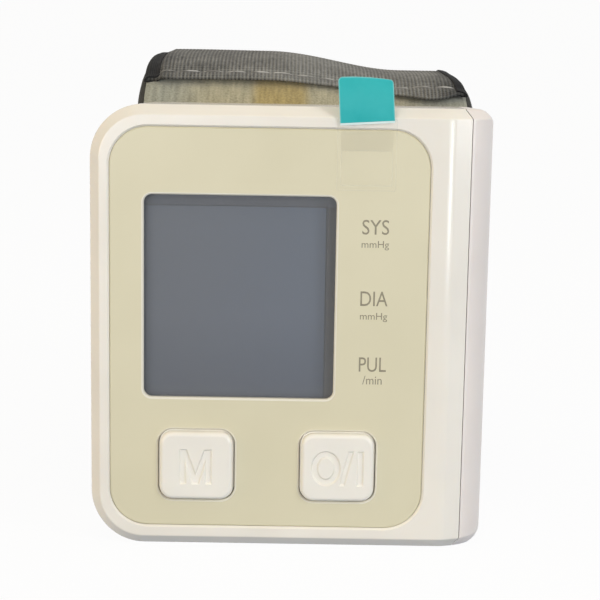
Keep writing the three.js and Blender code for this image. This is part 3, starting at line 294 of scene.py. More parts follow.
def skin(name, points, faces):
    """Object from points in millimetres and a list of faces."""
    mesh = bpy.data.meshes.new(name)
    mesh.from_pydata((points.reshape(-1, 3) * MM).tolist(), [], faces)
    mesh.validate()
    return shown(name, mesh)


def lofted(name, rings):
    """Closed body through rings of points, with a flat face at each end, facing outwards."""
    rows, columns = rings.shape[:2]
    faces = strip_faces(rows, columns).tolist()
    faces.append(list(range(columns))[::-1])
    faces.append(list(range((rows - 1) * columns, rows * columns)))
    corners = rings.reshape(-1, 3)
    fans = [corners[face] for face in faces]
    volume = sum(np.sum(np.cross(f[1:-1], f[2:]) @ f[0]) for f in fans)
    if volume < 0:
        faces = [face[::-1] for face in faces]
    return skin(name, rings, faces)


def widened(outline, by, loose=0.0):
    """Outline of the face grown on all sides, and by a looser fit that leaves its corners."""
    x, z, width, height, corner = outline
    return x, z, width + 2 * (by + loose), height + 2 * (by + loose), corner + by


def stacked(outline, grow, depths, steps=12):
    """Body through copies of an outline, each grown by its own amount at its own depth."""
    x, z, width, height, corner = outline
    wide, tall, corner = width / 2 + grow, height / 2 + grow, corner + grow
    return lofted("stack", rings_at(
        rounded_outline(x - wide, z - tall, x + wide, z + tall, corner, corner, steps), depths))


def slab(outline, y0, y1, steps=12, flare=0.0):
    """Flat block between two depths; its front edge may flare by a chamfer."""
    if not flare:
        return stacked(outline, np.zeros(2), (y0, y1), steps)
    start = y0 + HAIR
    return stacked(outline, np.array((flare, flare, 0, 0)), (y0, start, start + flare, y1), steps)


def block(x0, y0, z0, x1, y1, z1):
    """Plain box between two corners."""
    return lofted("block", rings_at(
        np.array(((x0, z0), (x1, z0), (x1, z1), (x0, z1)), float), (y0, y1)))


def bar(x, z, diameter, y0, y1):
    """Round bar along Y."""
    return lofted("bar", rings_at((x, z) + diameter / 2 * circle(48), (y0, y1)))


def case_body(inset):
    """The whole case, set in by a wall: outlines stacked from front to back. The rear edge and the
    right roll draw a side in by radius - sqrt(radius^2 - d^2). The front chamfer runs between two
    arcs, radius * (1 - cos t) and edge - radius * sin t, and follows the roll. It is at 45 degrees
    below, and a third deeper above and on the left."""
    roll, rear = RIGHT_ROLL - inset, REAR_EDGE - inset
    edge = max(FRONT_EDGE - inset, SLIP)
    border = min(FRONT_ROUND, edge / 2)
    depth = CASE_BACK - CASE_FRONT - 2 * inset
    turn = np.linspace(0, np.pi / 2, 25)
    bend = np.linspace(0, np.pi / 4, 7)
    front = np.concatenate((border * (1 - np.cos(bend)), edge - border * np.sin(bend[::-1])))
    drawn, front = front[::-1], FRONT_DEEP * front
    rolled = roll * (1 - np.cos(turn))
    stations = np.concatenate((
        np.union1d(front, front / FRONT_DEEP), rolled[rolled > front[-1] + 0.1],
        depth - rear * (1 - np.sin(turn[::2]))))
    behind = np.maximum(stations - depth + rear, 0)
    rear_in = rear - np.sqrt(np.maximum(rear**2 - behind**2, 0))
    side = inset + np.interp(stations, front, drawn) + rear_in
    under = inset + np.interp(FRONT_DEEP * stations, front, drawn) + rear_in
    top = CASE_HEIGHT - TOP_FALL * (stations + inset) / (CASE_BACK - CASE_FRONT)
    end = CASE_RIGHT - inset - rear_in
    left = rounded_outline(
        CASE_LEFT + side, under, end, top - side, np.maximum(LEFT_CORNER - side, SLIP), SLIP, 20)
    roll_in = roll - np.sqrt(np.maximum(roll**2 - np.maximum(roll - stations, 0) ** 2, 0))
    x = (end - roll_in)[:, None] - RIGHT_SPAN * (1 - np.sin(np.linspace(0, np.pi / 2, 32)))
    surface = roll - np.sqrt(roll**2 - np.clip(x - CASE_RIGHT + RIGHT_ROLL, 0, roll) ** 2)
    corner = np.maximum(RIGHT_CORNER - inset - rear_in, SLIP)[:, None]
    past = np.clip(x - end[:, None] + corner, 0, corner)
    drop = corner - np.sqrt(corner**2 - past**2)
    foot, head = (
        np.maximum(np.interp(steep * (stations[:, None] - surface), front, drawn), drop)
        + inset + rear_in[:, None] for steep in (FRONT_DEEP, 1.0))
    right = np.concatenate((
        np.stack((x, foot), -1), np.stack((x, top[:, None] - head), -1)[:, ::-1]), 1)
    outlines = np.concatenate((right, left[:, left.shape[1] // 2:]), 1)
    return lofted("case", rings_at(outlines, CASE_FRONT + inset + stations))


def beside_seam(x, far, y0, y1):
    """Prism along Y that ends at the seam of the battery cover, which leans over the chamfers."""
    low, high = SLIP, 0.9 * FRONT_EDGE
    heights = (-FAR, low, high, CASE_HEIGHT - high, CASE_HEIGHT - low, FAR)
    line = x - SEAM_LEAN * np.array((1, 1, 0, 0, 1, 1))
    return lofted("beside", rings_at(
        np.array(((far, -FAR), *zip(line, heights), (far, FAR))), (y0, y1)))


def loop_reach(cosine, sine):
    """Distance from the cuff's middle to its oval, |y/a|^n + |z/b|^n = 1, along a direction."""
    return (np.abs(cosine / LOOP_HALF_DEPTH) ** LOOP_SQUARENESS
            + np.abs(sine / LOOP_HALF_HEIGHT) ** LOOP_SQUARENESS) ** (-1 / LOOP_SQUARENESS)


def cuff_hollow(gap):
    """Prism along X that takes all behind the front half of the cuff's oval, grown by a gap."""
    turn = np.radians(np.linspace(-90, 90, 65))
    cosine, sine = np.cos(turn), np.sin(turn)
    reach = loop_reach(cosine, sine) * (1 + gap / LOOP_HALF_DEPTH)
    y, z = LOOP_Y - reach * cosine, LOOP_Z + reach * sine
    y = np.concatenate((y, (FAR, FAR)))
    z = np.concatenate((z, (z[-1], z[0])))
    ends = np.array((-FAR, FAR))[:, None]
    return lofted("hollow", np.stack(np.broadcast_arrays(ends, y, z), -1))


def cuts(*bodies):
    """Steps that cut bodies away."""
    return [("DIFFERENCE", body) for body in bodies]


def worked(base, *steps):
    """A body joined with, cut by or kept within others in turn, given as (operation, body)."""
    for operation, other in steps:
        change = base.modifiers.new(operation, "BOOLEAN")
        change.operation = operation
        change.object = other
        change.solver = "EXACT"
    graph = bpy.context.evaluated_depsgraph_get()
    result = bpy.data.meshes.new_from_object(base.evaluated_get(graph))
    base.modifiers.clear()
    base.data = result
    for _, other in steps:
        bpy.data.objects.remove(other)
    return base


def coated(made, material):
    """Gives a piece or a solid of the model its one finish."""
    made.data.materials.clear()
    made.data.materials.append(material)


def finished(made, name, material, body, slot, *replaced):
    """Names a piece, shades it smooth up to its creases, gives it its finish, and puts it on its
    body, unless that is None, in place of the model's plain solids."""
    made.name = name
    made.data.name = name
    coated(made, material)
    made.data.polygons.foreach_set("use_smooth", np.ones(len(made.data.polygons), bool))
    made.data.set_sharp_from_angle(angle=math.radians(CREASE))
    even = made.modifiers.new("even_normals", "WEIGHTED_NORMAL")
    even.keep_sharp = True
    if body:
        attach(made, body)
    if replaced:
        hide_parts(*replaced)
    return made


def noise(tree, scale, detail=2.0, stretch=(1, 1, 1), place=None):
    """Noise over the piece's coordinates, or over another place, stretched along the axes."""
    place = coordinates(tree) if place is None else place
    vector = node(tree, "Mapping", {"Vector": place, "Scale": stretch}).outputs["Vector"]
    return node(tree, "TexNoise", {
        "Vector": vector, "Scale": scale, "Detail": detail}).outputs["Fac"]


def ramp(tree, factor, *stops):
    """Colours spread over a factor, given as (position, (r, g, b)) in order."""
    spread = node(tree, "ValToRGB", {"Fac": factor})
    elements = spread.color_ramp.elements
    while len(elements) < len(stops):
        elements.new(1.0)
    for element, (position, color) in zip(elements, stops):
        element.position = position
        element.color = (*color, 1.0)
    return spread.outputs["Color"]


def toned(tree, factor, deep, pale):
    """Colour that goes from a deep to a pale tone over the middle of a factor."""
    return ramp(tree, factor, (0.3, deep), (0.7, pale))


def between(tree, factor, low, high):
    """A factor from 0 to 1 carried on to a range of values."""
    return node(tree, "MapRange", {
        "Value": factor, "To Min": low, "To Max": high}).outputs["Result"]


def relief(tree, height, depth):
    """Normal of a relief of a depth in millimetres, from a height between 0 and 1."""
    return node(tree, "Bump", {"Height": height, "Distance": depth * MM}).outputs["Normal"]


def fine_grain(tree, scale, low, high, depth):
    """Gloss between two values and a relief, from one fine noise."""
    fine = noise(tree, scale, 1.0)
    return {"Roughness": between(tree, fine, low, high), "Normal": relief(tree, fine, depth)}


def moulded_plastic(name, color, roughness):
    """Moulded plastic: a faint unevenness of tone, and a fine spark-eroded grain in the gloss."""
    pale = np.minimum(np.multiply(color, 1 + TONE_SPREAD), 1.0)
    deep = np.multiply(color, 1 - TONE_SPREAD)
    gloss = (roughness - GLOSS_SPREAD, roughness + GLOSS_SPREAD)
    return finish(name, lambda tree: {
        "Base Color": ramp(tree, noise(tree, 60.0), (0.35, deep), (0.65, pale)),
        **fine_grain(tree, 5200.0, *gloss, PLASTIC_GRAIN),
        "Subsurface Weight": 0.08,
        "Subsurface Radius": (0.002, 0.0015, 0.001),
        "Subsurface Scale": 0.6})


ivory = moulded_plastic("ivory_plastic", (0.88, 0.83, 0.735), 0.2)
front_cover = worked(
    case_body(0.0),
    ("INTERSECT", beside_seam(SEAM_X, -FAR, -FAR, PARTING)),
    *cuts(
        worked(case_body(WALL), ("INTERSECT", block(*INNER_ROOM))),
        block(*BAY_ROOM),
        slab(widened(PLATE, PRESS), CASE_FRONT - FIT, PLATE_BACK + FIT, 24, LIP),
        slab(widened(WINDOW, LENS_RIM, FIT), PLATE_BACK - 1, PARTING),
        *(slab(widened(button, SLIP), PLATE_BACK - 1, PARTING) for button in BUTTONS.values())))
finished(front_cover, "front_cover_shell", ivory, "case", "ivory_plastic", "front_cover")


# Rear cover: the ivory back half of the case. Its back is hollowed to the curve of the cuff,
# and four screws go in through wells near its corners.
SCREW_SEAT = CASE_BACK - 2.0
SCREW_WELL, SCREW_HOLE, SCREW_BOSS = 4.6, 2.5, 7.2
screw_boxes = {name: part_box(name) for name in cad if name.startswith("case_screw")}
screw_places = {
    name: ((low.x + high.x) / 2 / MM, (low.z + high.z) / 2 / MM)
    for name, (low, high) in screw_boxes.items()}
rear_hollow = worked(
    case_body(WALL), *cuts(cuff_hollow(SLIP + WALL)), ("INTERSECT", block(*INNER_ROOM)))
rear_steps = [
    *cuts(cuff_hollow(SLIP)),
    ("INTERSECT", beside_seam(SEAM_X, -FAR, PARTING + SEAM, FAR)),
    *cuts(rear_hollow, block(*BAY_ROOM))]
for x, z in screw_places.values():
    rear_steps += [
        ("UNION", bar(x, z, SCREW_BOSS, PARTING + 2, SCREW_SEAT + 0.2)),
        *cuts(bar(x, z, SCREW_WELL, SCREW_SEAT, FAR), bar(x, z, SCREW_HOLE, PARTING, FAR))]
rear_cover = worked(case_body(0.0), *rear_steps)
finished(rear_cover, "rear_cover_shell", ivory, "case", "ivory_plastic", "rear_cover")


# Battery cover: the ivory right end of the case, a hollow cap that is pulled off sideways. Two
# tongues hold it in slots above and below the cells. It is of the frame's ivory plastic, painted a
# little greyer as shade.
CAP_SEAM = 0.12
CAP_WALL = 1.4
TONGUE_LENGTH, TONGUE_WIDTH, TONGUE_THICK = 3.6, 8.0, 1.2
TRAY_WALL = 1.2
# Painted shade: the cap's plastic is coloured greyer than the frame's ivory, which it is made of.
shaded_cap_plastic = moulded_plastic("shaded_cap_plastic", (0.86, 0.785, 0.725), 0.34)
tongue_y = (PARTING + WAIST_BACK - WALL) / 2
tongue_off = TRAY_WALL + 2 * TONGUE_THICK
battery_cap = worked(
    case_body(0.0),
    *cuts(cuff_hollow(SLIP)),
    ("INTERSECT", beside_seam(SEAM_X + CAP_SEAM, FAR, -FAR, FAR)),
    *cuts(worked(case_body(CAP_WALL), *cuts(cuff_hollow(SLIP + CAP_WALL)))),
    *(("UNION", block(
        SEAM_X - TONGUE_LENGTH, tongue_y - TONGUE_WIDTH / 2, z - TONGUE_THICK / 2,
        CASE_RIGHT - CAP_WALL / 2, tongue_y + TONGUE_WIDTH / 2, z + TONGUE_THICK / 2))
      for z in (BAY_BOTTOM - tongue_off, BAY_TOP + tongue_off)))
finished(battery_cap, "battery_cap", shaded_cap_plastic, "battery_lid", "ivory_plastic", "battery_cover")


# Face plate: a cream sheet with a stepped edge, pressed into the rebate of the frame. A lip with a
# bevelled inner edge lines its window and the hole of each button; its paler colour is a painted
# highlight along these edges.
BEVEL = 0.22
LIPS = {"window": 0.36, "memory": 0.3, "power": 0.3}
GROOVE, GROOVE_SLOPE, GROOVE_DEEP, GROOVE_FLOOR = 0.12, 0.08, 0.2, 0.02
cream = finish("cream_sheet", lambda tree: {
    "Base Color": toned(
        tree, noise(tree, 38.0, 3.0), (0.690, 0.637, 0.445), (0.735, 0.679, 0.482)),
    **fine_grain(tree, 7000.0, 0.36, 0.5, 0.003)})
# Painted highlight: the lips are coloured paler than the cream sheet, as edges that catch the
# light.
lip_highlight_paint = finish("lip_painted_highlight", lambda tree: {
    "Base Color": toned(tree, noise(tree, 60.0), (0.80, 0.755, 0.63), (0.84, 0.795, 0.67)),
    "Roughness": 0.3})
openings = {"window": WINDOW, **{key: widened(at, SLIP) for key, at in BUTTONS.items()}}
plate_cuts = []
for name, opening in openings.items():
    around = widened(opening, LIPS[name])
    plate_cuts.append(slab(around, PLATE_FRONT - 1, PLATE_BACK + 1))
    lip = worked(
        slab(around, PLATE_FRONT, PLATE_BACK),
        *cuts(slab(opening, PLATE_FRONT - HAIR, PLATE_BACK + 1, flare=BEVEL)))
    finished(lip, f"{name}_lip", lip_highlight_paint, "case", "cream_plastic")
step_in = np.array((GROOVE + GROOVE_SLOPE, GROOVE, PRESS, PRESS))
step_depth = PLATE_FRONT + np.array(
    (0.0, GROOVE_DEEP, GROOVE_DEEP + GROOVE_FLOOR, PLATE_BACK - PLATE_FRONT))
face_sheet = worked(stacked(PLATE, -step_in, step_depth, 24), *cuts(*plate_cuts))
finished(face_sheet, "face_sheet", cream, "case", "cream_plastic", "face_plate")


# Window: clear acrylic set behind the opening of the plate, with polished edges.
LENS_FRONT, LENS_THICK = PLATE_BACK + FIT, 1.3
acrylic = finish("clear_acrylic", lambda tree: {
    "Base Color": (0.55, 0.58, 0.62, 1.0), "Roughness": 0.04, "Alpha": 0.12, "IOR": 1.49})
window_pane = slab(widened(WINDOW, LENS_RIM), LENS_FRONT, LENS_FRONT + LENS_THICK, 10)
finished(window_pane, "window_pane", acrylic, "case", "clear_acrylic", "display_window")


# Display: switched-off liquid crystal glass of one even tone, painted greyer at the left and bluer
# at the right as the tints of the lamps' light, and painted darker at its foot as shade. It lies on
# the black holder that shows as a dark strip along its top and right.
LCD_X, LCD_Z, LCD_WIDTH, LCD_HEIGHT, LCD_CORNER = -10.25, 41.75, 32.1, 34.3, 0.3
LCD_FRONT, LCD_BACK = -11.925, -9.725
LCD_TAPER = 0.45
LCD_TOP = LCD_Z + LCD_HEIGHT / 2
# Tones up the glass, with painted shade at its foot, and the painted tints of the lamps' light
# that they are multiplied by at its left and at its right side.
LCD_TONES_AND_FOOT_SHADE = (
    (0.0, (0.042, 0.048, 0.068)), (0.45, (0.094, 0.101, 0.124)), (1.0, (0.099, 0.106, 0.126)))
LCD_PAINTED_LAMP_TINTS = ((0.98, 0.94, 0.88), (0.88, 1.01, 1.16))
HOLDER_SHADE_BLUR = 0.2


def up_piece(tree, low, high, axis="Z"):
    """0 at a low place on an axis of the piece, rising to 1 at a high one."""
    return risen(tree, axis_of(tree, coordinates(tree), axis), low * MM, high * MM)


def dressed(material, *names):
    """Gives solids of the model their finish."""
    for name in names:
        coated(cad[name], material)


def crystal_look(tree):
    """Tones up the glass with its painted shade at the foot, mixed across it between the
    lamps' painted tints, with a fine relief.
    """
    rise = up_piece(tree, LCD_TOP - LCD_HEIGHT, LCD_TOP)
    rightward = up_piece(tree, LCD_X - LCD_WIDTH / 2, LCD_X + LCD_WIDTH / 2, "X")
    sides = (
        ramp(tree, rise, *((at, np.multiply(tone, lamp_tint)) for at, tone in LCD_TONES_AND_FOOT_SHADE))
        for lamp_tint in LCD_PAINTED_LAMP_TINTS)
    return {
        "Base Color": mixed(tree, rightward, *sides), "Roughness": 0.22,
        "Specular IOR Level": 0.15, "Normal": relief(tree, noise(tree, 9000.0, 1.0), 0.002)}


crystal = finish("liquid_crystal_glass", crystal_look)
taper = np.array((0.0, LCD_TAPER))
display = stacked(
    (LCD_X, LCD_Z, LCD_WIDTH, LCD_HEIGHT, LCD_CORNER + taper), -taper, (LCD_FRONT, LCD_BACK), 4)
finished(display, "display_glass", crystal, "case", "lcd_glass", "lcd_panel")
# Painted shade: the holder is one black plastic, coloured darker and warmer below the glass's top
# (its right strip) than in its top strip.
dressed(finish("shaded_holder_plastic", lambda tree: {
    "Base Color": ramp(
        tree, up_piece(tree, LCD_TOP - HOLDER_SHADE_BLUR, LCD_TOP + HOLDER_SHADE_BLUR),
        (0.0, (0.046, 0.041, 0.036)), (1.0, (0.072, 0.071, 0.078))),
    "Roughness": 0.45, "Specular IOR Level": 0.15}), "lcd_holder")


# Buttons: two white moulded keys that stand a little proud of the plate, with rounded edges.
# Their signs are sunk into the face by the mould, and a flange keeps each key behind the cover.
BUTTON_FRONT = -15.625
BUTTON_EDGE = 0.75
SKIRT, SKIRT_FRONT, SKIRT_SLOPE = 0.17, -14.2, 0.05
FLANGE_FRONT, FLANGE_THICK, FLANGE_RIM = INNER_FACE + FIT, 0.8, 0.9
STEM, STEM_END = 4.0, -8.275
SIGN_DEPTH, SIGN_DRAFT, SIGN_STROKE = 0.3, 0.13, 1.05
SIGN_HEIGHT = 5.95
# The M: its offset from the key's centre, half width, and its legs, neck, shoulder and fork as
# shares of the stroke, with the rise of its inner corners as a share of the height.
M_PLACE, M_HALF_WIDTH = (-0.1, -0.12), 2.68
M_LEG, M_NECK, M_SHOULDER, M_FORK, M_INNER = 0.92, 0.5, 1.1, 1.55, 0.64
# The O and its two strokes: offsets from the key's centre, and the foot and head of each stroke.
O_DROP, O_X, O_HALF_WIDTH = 0.05, -1.95, 2.46
STROKES = ((0.42, 1.24, 2.72, 1.9), (3.45, 4.4, 4.4, 3.45))


def grown(outline, by):
    """Outline with each side moved out: a corner moves by (n + m) / (1 + n.m), n and m being the
    unit normals of its two sides."""
    points = np.asarray(outline, float)
    along = np.roll(points, -1, 0) - points
    normal = np.stack((along[:, 1], -along[:, 0]), -1) / np.linalg.norm(along, axis=1)[:, None]
    area = np.sum(points[:, 0] * along[:, 1] - points[:, 1] * along[:, 0])
    before = np.roll(normal, 1, 0)
    mitre = (normal + before) / (1 + np.sum(normal * before, 1, keepdims=True))
    return points + np.sign(area) * by * mitre


def sunk(outline):
    """Tool for a sunk sign: straight in front of the key, then tapering to the sign's floor."""
    wide, narrow = grown(outline, SIGN_DRAFT), grown(outline, -SIGN_DRAFT)
    return lofted("sign", rings_at(
        np.stack((wide, wide, narrow)),
        (BUTTON_FRONT - 1, BUTTON_FRONT, BUTTON_FRONT + SIGN_DEPTH)))


def letter_m(x, z):
    """M drawn as one outline: two legs and a vertex that reaches the foot of the letter."""
    s, w = SIGN_STROKE, M_HALF_WIDTH
    low, top = z - SIGN_HEIGHT / 2, z + SIGN_HEIGHT / 2
    leg, inner = w - M_LEG * s, low + M_INNER * SIGN_HEIGHT
    right = [(M_NECK * s, low), (leg, inner), (leg, low), (w, low), (w, top),
             (w - M_SHOULDER * s, top)]
    left = [(-a, b) for a, b in right[::-1]]
    return [sunk([(x + a, b) for a, b in (*right, (0.0, low + M_FORK * s), *left)])]


def power_sign(x, z):
    """O, a slanted stroke and an upright one: a ring between two ellipses, and two bars."""
    middle, tall = (x + O_X, z), SIGN_HEIGHT / 2
    inner = circle(64) * (O_HALF_WIDTH - SIGN_STROKE, tall - SIGN_STROKE) + middle
    core = lofted("core", rings_at(
        np.stack([grown(inner, by * SIGN_DRAFT) for by in (-1, -1, 1.7)]),
        (BUTTON_FRONT - 2, BUTTON_FRONT, BUTTON_FRONT + SIGN_DEPTH + 0.1)))
    ring = worked(sunk(circle(64) * (O_HALF_WIDTH, tall) + middle), *cuts(core))
    ends = (z - tall, z - tall, z + tall, z + tall)
    return [ring, *(sunk(list(zip(np.add(x, stroke), ends))) for stroke in STROKES)]


key_plastic = moulded_plastic("key_plastic", (0.885, 0.845, 0.755), 0.32)
key_x, key_z = BUTTONS["memory"][:2]
key_signs = {
    "memory": letter_m(key_x + M_PLACE[0], key_z + M_PLACE[1]),
    "power": power_sign(BUTTONS["power"][0], key_z - O_DROP)}
key_turn = np.linspace(0, np.pi / 2, 9)
key_grow = np.append(BUTTON_EDGE * (np.sin(key_turn) - 1), (0.0, SKIRT, SKIRT))
key_depths = np.append(
    BUTTON_FRONT + BUTTON_EDGE * (1 - np.cos(key_turn)),
    (SKIRT_FRONT, SKIRT_FRONT + SKIRT_SLOPE, FLANGE_FRONT + FLANGE_THICK / 2))
for key, outline in BUTTONS.items():
    key_body = worked(
        stacked(outline, key_grow, key_depths),
        ("UNION", slab(widened(outline, FLANGE_RIM), FLANGE_FRONT, FLANGE_FRONT + FLANGE_THICK)),
        ("UNION", bar(*outline[:2], STEM, FLANGE_FRONT, STEM_END)),
        *cuts(*key_signs[key]))
    finished(
        key_body, f"{key}_key_cap", key_plastic, f"{key}_key", "button_plastic", f"{key}_button")


# Labels: grey-brown ink printed on the plate, naming the three readings and their units.
LABEL_X = 14.08
INK_THICK = 0.02
# Each label: name, words, height of its middle, height and width.
LABELS = (
    ("label_sys", "SYS", 56.08, 2.5, 4.5), ("label_sys_unit", "mmHg", 53.0, 1.55, 4.6),
    ("label_dia", "DIA", 43.92, 2.5, 4.6), ("label_dia_unit", "mmHg", 40.73, 1.55, 4.6),
    ("label_pul", "PUL", 32.54, 2.5, 4.6), ("label_pul_unit", "/min", 29.84, 1.5, 3.3))
ink = finish("label_ink", lambda tree: {
    "Base Color": toned(tree, noise(tree, 900.0), (0.24, 0.21, 0.14), (0.30, 0.265, 0.18)),
    "Roughness": 0.5})
for name, words, z, height, width in LABELS:
    curve = bpy.data.curves.new(name, "FONT")
    curve.body = words
    curve.extrude = 0.5
    curve.resolution_u = 4
    source = shown(name, curve)
    graph = bpy.context.evaluated_depsgraph_get()
    letters = bpy.data.meshes.new_from_object(source.evaluated_get(graph))
    bpy.data.objects.remove(source)
    flat = np.empty(len(letters.vertices) * 3, np.float32)
    letters.vertices.foreach_get("co", flat)
    flat = flat.reshape(-1, 3)
    low, high = flat.min(0), flat.max(0)
    unit = (flat - (low + high) / 2) / (high - low)
    set_in = np.stack((
        LABEL_X + unit[:, 0] * width,
        PLATE_FRONT - INK_THICK / 2 - unit[:, 2] * INK_THICK,
        z + unit[:, 1] * height), -1) * MM
    letters.vertices.foreach_set("co", set_in.astype(np.float32).ravel())
    letters.update()
    printed = shown(name, letters)
    coated(printed, ink)
    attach(printed, "case")


# Protective film: a clear strip over the top right of the plate with a smaller second layer, a tan
# band between them that is painted shadow of the tab, and a teal pull tab that stands up past the
# edge of the case.
FILM_X, FILM_TOP = 12.3, 74.25
FILM_WIDTH, FILM_HEIGHT = 10.0, 12.1
FILM_BACK, FILM_THICK = -14.875, 0.1
FILM_FRONT, SECOND_FRONT = FILM_BACK - FILM_THICK, FILM_BACK - 2.2 * FILM_THICK
PATCH_WIDTH, PATCH_HEIGHT, PATCH_DROP = 8.7, 6.0, 8.25
FILM_LINE = 0.18
OUTER_CORNER, INNER_CORNER, SHADOW_CORNER = 0.4, 0.3, 0.2
TAB_X, TAB_FOOT = 12.27, 73.69
TAB_WIDTH, TAB_RISE = 9.07, 7.17
TAB_TAPER, TAB_BULGE = 0.4, 0.2
TAB_CORNER = 0.7
TAB_THICK = 0.14
TAB_LEAN = math.radians(-3.6)
TAB_FRONT = -15.3
TAB_GLINT_REACH = 0.2
TAB_BOW, TAB_TWIST, TAB_BACKWARD = 0.25, 0.3, 0.35
FOLD_LOW, FOLD_HIGH, FOLD_SINK = -0.36, 0.02, 0.05


def thin_film(name, color, roughness, alpha):
    """Nearly clear film with faint waves."""
    return finish(name, lambda tree: {
        "Base Color": (*color, 1.0), "Roughness": roughness, "Alpha": alpha,
        "Normal": relief(tree, noise(tree, 260.0), 0.03)})


def grained(name, deep, pale, roughness, scale, metallic=0.0):
    """Plain finish of uneven tone, with a fine variation of its gloss."""
    return finish(name, lambda tree: {
        "Base Color": toned(tree, noise(tree, scale, 3.0), deep, pale), "Metallic": metallic,
        "Roughness": between(tree, noise(tree, 8 * scale), roughness - 0.08, roughness + 0.08)})


def film_edge(name, drop, width, height, front):
    """Cut edge of a sheet of film whose centre lies a drop below the film's top; its pale tone is a
    painted highlight.
    """
    outer = (FILM_X, FILM_TOP - drop, width, height, OUTER_CORNER)
    inner = (*outer[:2], width - 2 * FILM_LINE, height - 2 * FILM_LINE, INNER_CORNER)
    edge = worked(
        slab(outer, front, front + FILM_THICK, 6), *cuts(slab(inner, front - 1, front + 1, 6)))
    finished(edge, name, glinting_film_edge, "case", "clear_acrylic")


def on_tab(u, v, depth):
    """Point u across and v up the tab, turned by its lean, at a depth."""
    x = TAB_X + u * math.cos(TAB_LEAN) + v * math.sin(TAB_LEAN)
    z = TAB_FOOT + v * math.cos(TAB_LEAN) - u * math.sin(TAB_LEAN)
    return np.stack(np.broadcast_arrays(x, depth, z), -1)


clear_film = thin_film("clear_film", (0.86, 0.85, 0.78), 0.14, 0.012)
# Painted highlight: the film's cut edges are given a pale tone where they catch the light.
glinting_film_edge = thin_film("film_edge_painted_highlight", (0.97, 0.95, 0.85), 0.4, 0.035)
# Painted shadow: a tan, faintly opaque film that stands for the shade the tab casts on the plate.
tab_shadow_film = thin_film("painted_tab_shadow", (0.44, 0.33, 0.17), 0.3, 0.02)
film = slab(
    (FILM_X, FILM_TOP - FILM_HEIGHT / 2, FILM_WIDTH - 2 * FILM_LINE, FILM_HEIGHT - 2 * FILM_LINE,
     INNER_CORNER), FILM_FRONT, FILM_BACK, 6)
finished(film, "film_strip", clear_film, "case", "clear_acrylic", "protective_film")
film_edge("film_strip_edge", FILM_HEIGHT / 2, FILM_WIDTH, FILM_HEIGHT, FILM_FRONT)
film_edge("film_patch_edge", PATCH_DROP, PATCH_WIDTH, PATCH_HEIGHT, SECOND_FRONT)
shadow_top, shadow_foot = PLATE[1] + PLATE[3] / 2, FILM_TOP - PATCH_DROP + PATCH_HEIGHT / 2
shadow_band = slab(
    (FILM_X, (shadow_top + shadow_foot) / 2, PATCH_WIDTH, shadow_top - shadow_foot, SHADOW_CORNER),
    SECOND_FRONT, SECOND_FRONT + FILM_THICK, 4)
finished(shadow_band, "tab_shadow_band", tab_shadow_film, "case", "clear_acrylic")

# Painted highlight: the teal is mixed to a paler tone along the tab's edges, where they catch
# light.
teal = finish("teal_film", lambda tree: {
    "Base Color": mixed(
        tree, node(tree, "Attribute", {}, attribute_name="edge_glint").outputs["Fac"],
        toned(tree, noise(tree, 160.0, 3.0), (0.012, 0.415, 0.420), (0.034, 0.480, 0.480)),
        (0.24, 0.62, 0.60, 1.0)),
    "Roughness": 0.38, "Specular IOR Level": 0.3,
    "Normal": relief(tree, noise(tree, 420.0), 0.05)})
tab_up = np.sin(np.linspace(0, np.pi / 2, 29))[:, None]
tab_across = np.sin(np.linspace(-np.pi / 2, np.pi / 2, 41))[None]
over = np.maximum(tab_up * TAB_RISE - (TAB_RISE - TAB_CORNER), 0)
half_width = TAB_WIDTH / 2 - TAB_CORNER + np.sqrt(np.maximum(TAB_CORNER**2 - over**2, 0))
tab_v = tab_up * (TAB_RISE - TAB_TAPER * tab_across + TAB_BULGE * (1 - tab_across**2))
curl = (TAB_FRONT - TAB_BOW * np.sin(tab_up * np.pi) * (1 - TAB_TWIST * tab_across)
        + TAB_BACKWARD * tab_up**2)
tab_face = on_tab(tab_across * half_width, tab_v, curl)
pull_tab = lofted(
    "pull_tab", np.concatenate((tab_face, tab_face[:, ::-1] + (0, TAB_THICK, 0)), 1))
to_edge = np.minimum(half_width * (1 - np.abs(tab_across)), (1 - tab_up) * TAB_RISE)
edge_glint = np.clip(1 - to_edge / TAB_GLINT_REACH, 0, 1)
pull_tab.data.attributes.new("edge_glint", "FLOAT", "POINT").data.foreach_set(
    "value", np.concatenate((edge_glint, edge_glint[:, ::-1]), 1).astype(np.float32).ravel())
finished(pull_tab, "pull_tab", teal, "case", "tab_film", "film_tab")

fold_film = grained("fold_film", (0.70, 0.84, 0.80), (0.78, 0.88, 0.84), 0.35, 300.0)
fold_u = np.array((-0.5, 0.5, 0.5, -0.5)) * TAB_WIDTH
fold_v = np.array((FOLD_LOW, FOLD_LOW, FOLD_HIGH, FOLD_HIGH))
fold_rings = np.stack([on_tab(fold_u, fold_v, TAB_FRONT + d) for d in (FOLD_SINK, TAB_THICK)])
finished(lofted("tab_fold", fold_rings), "tab_fold", fold_film, "case", "tab_film")


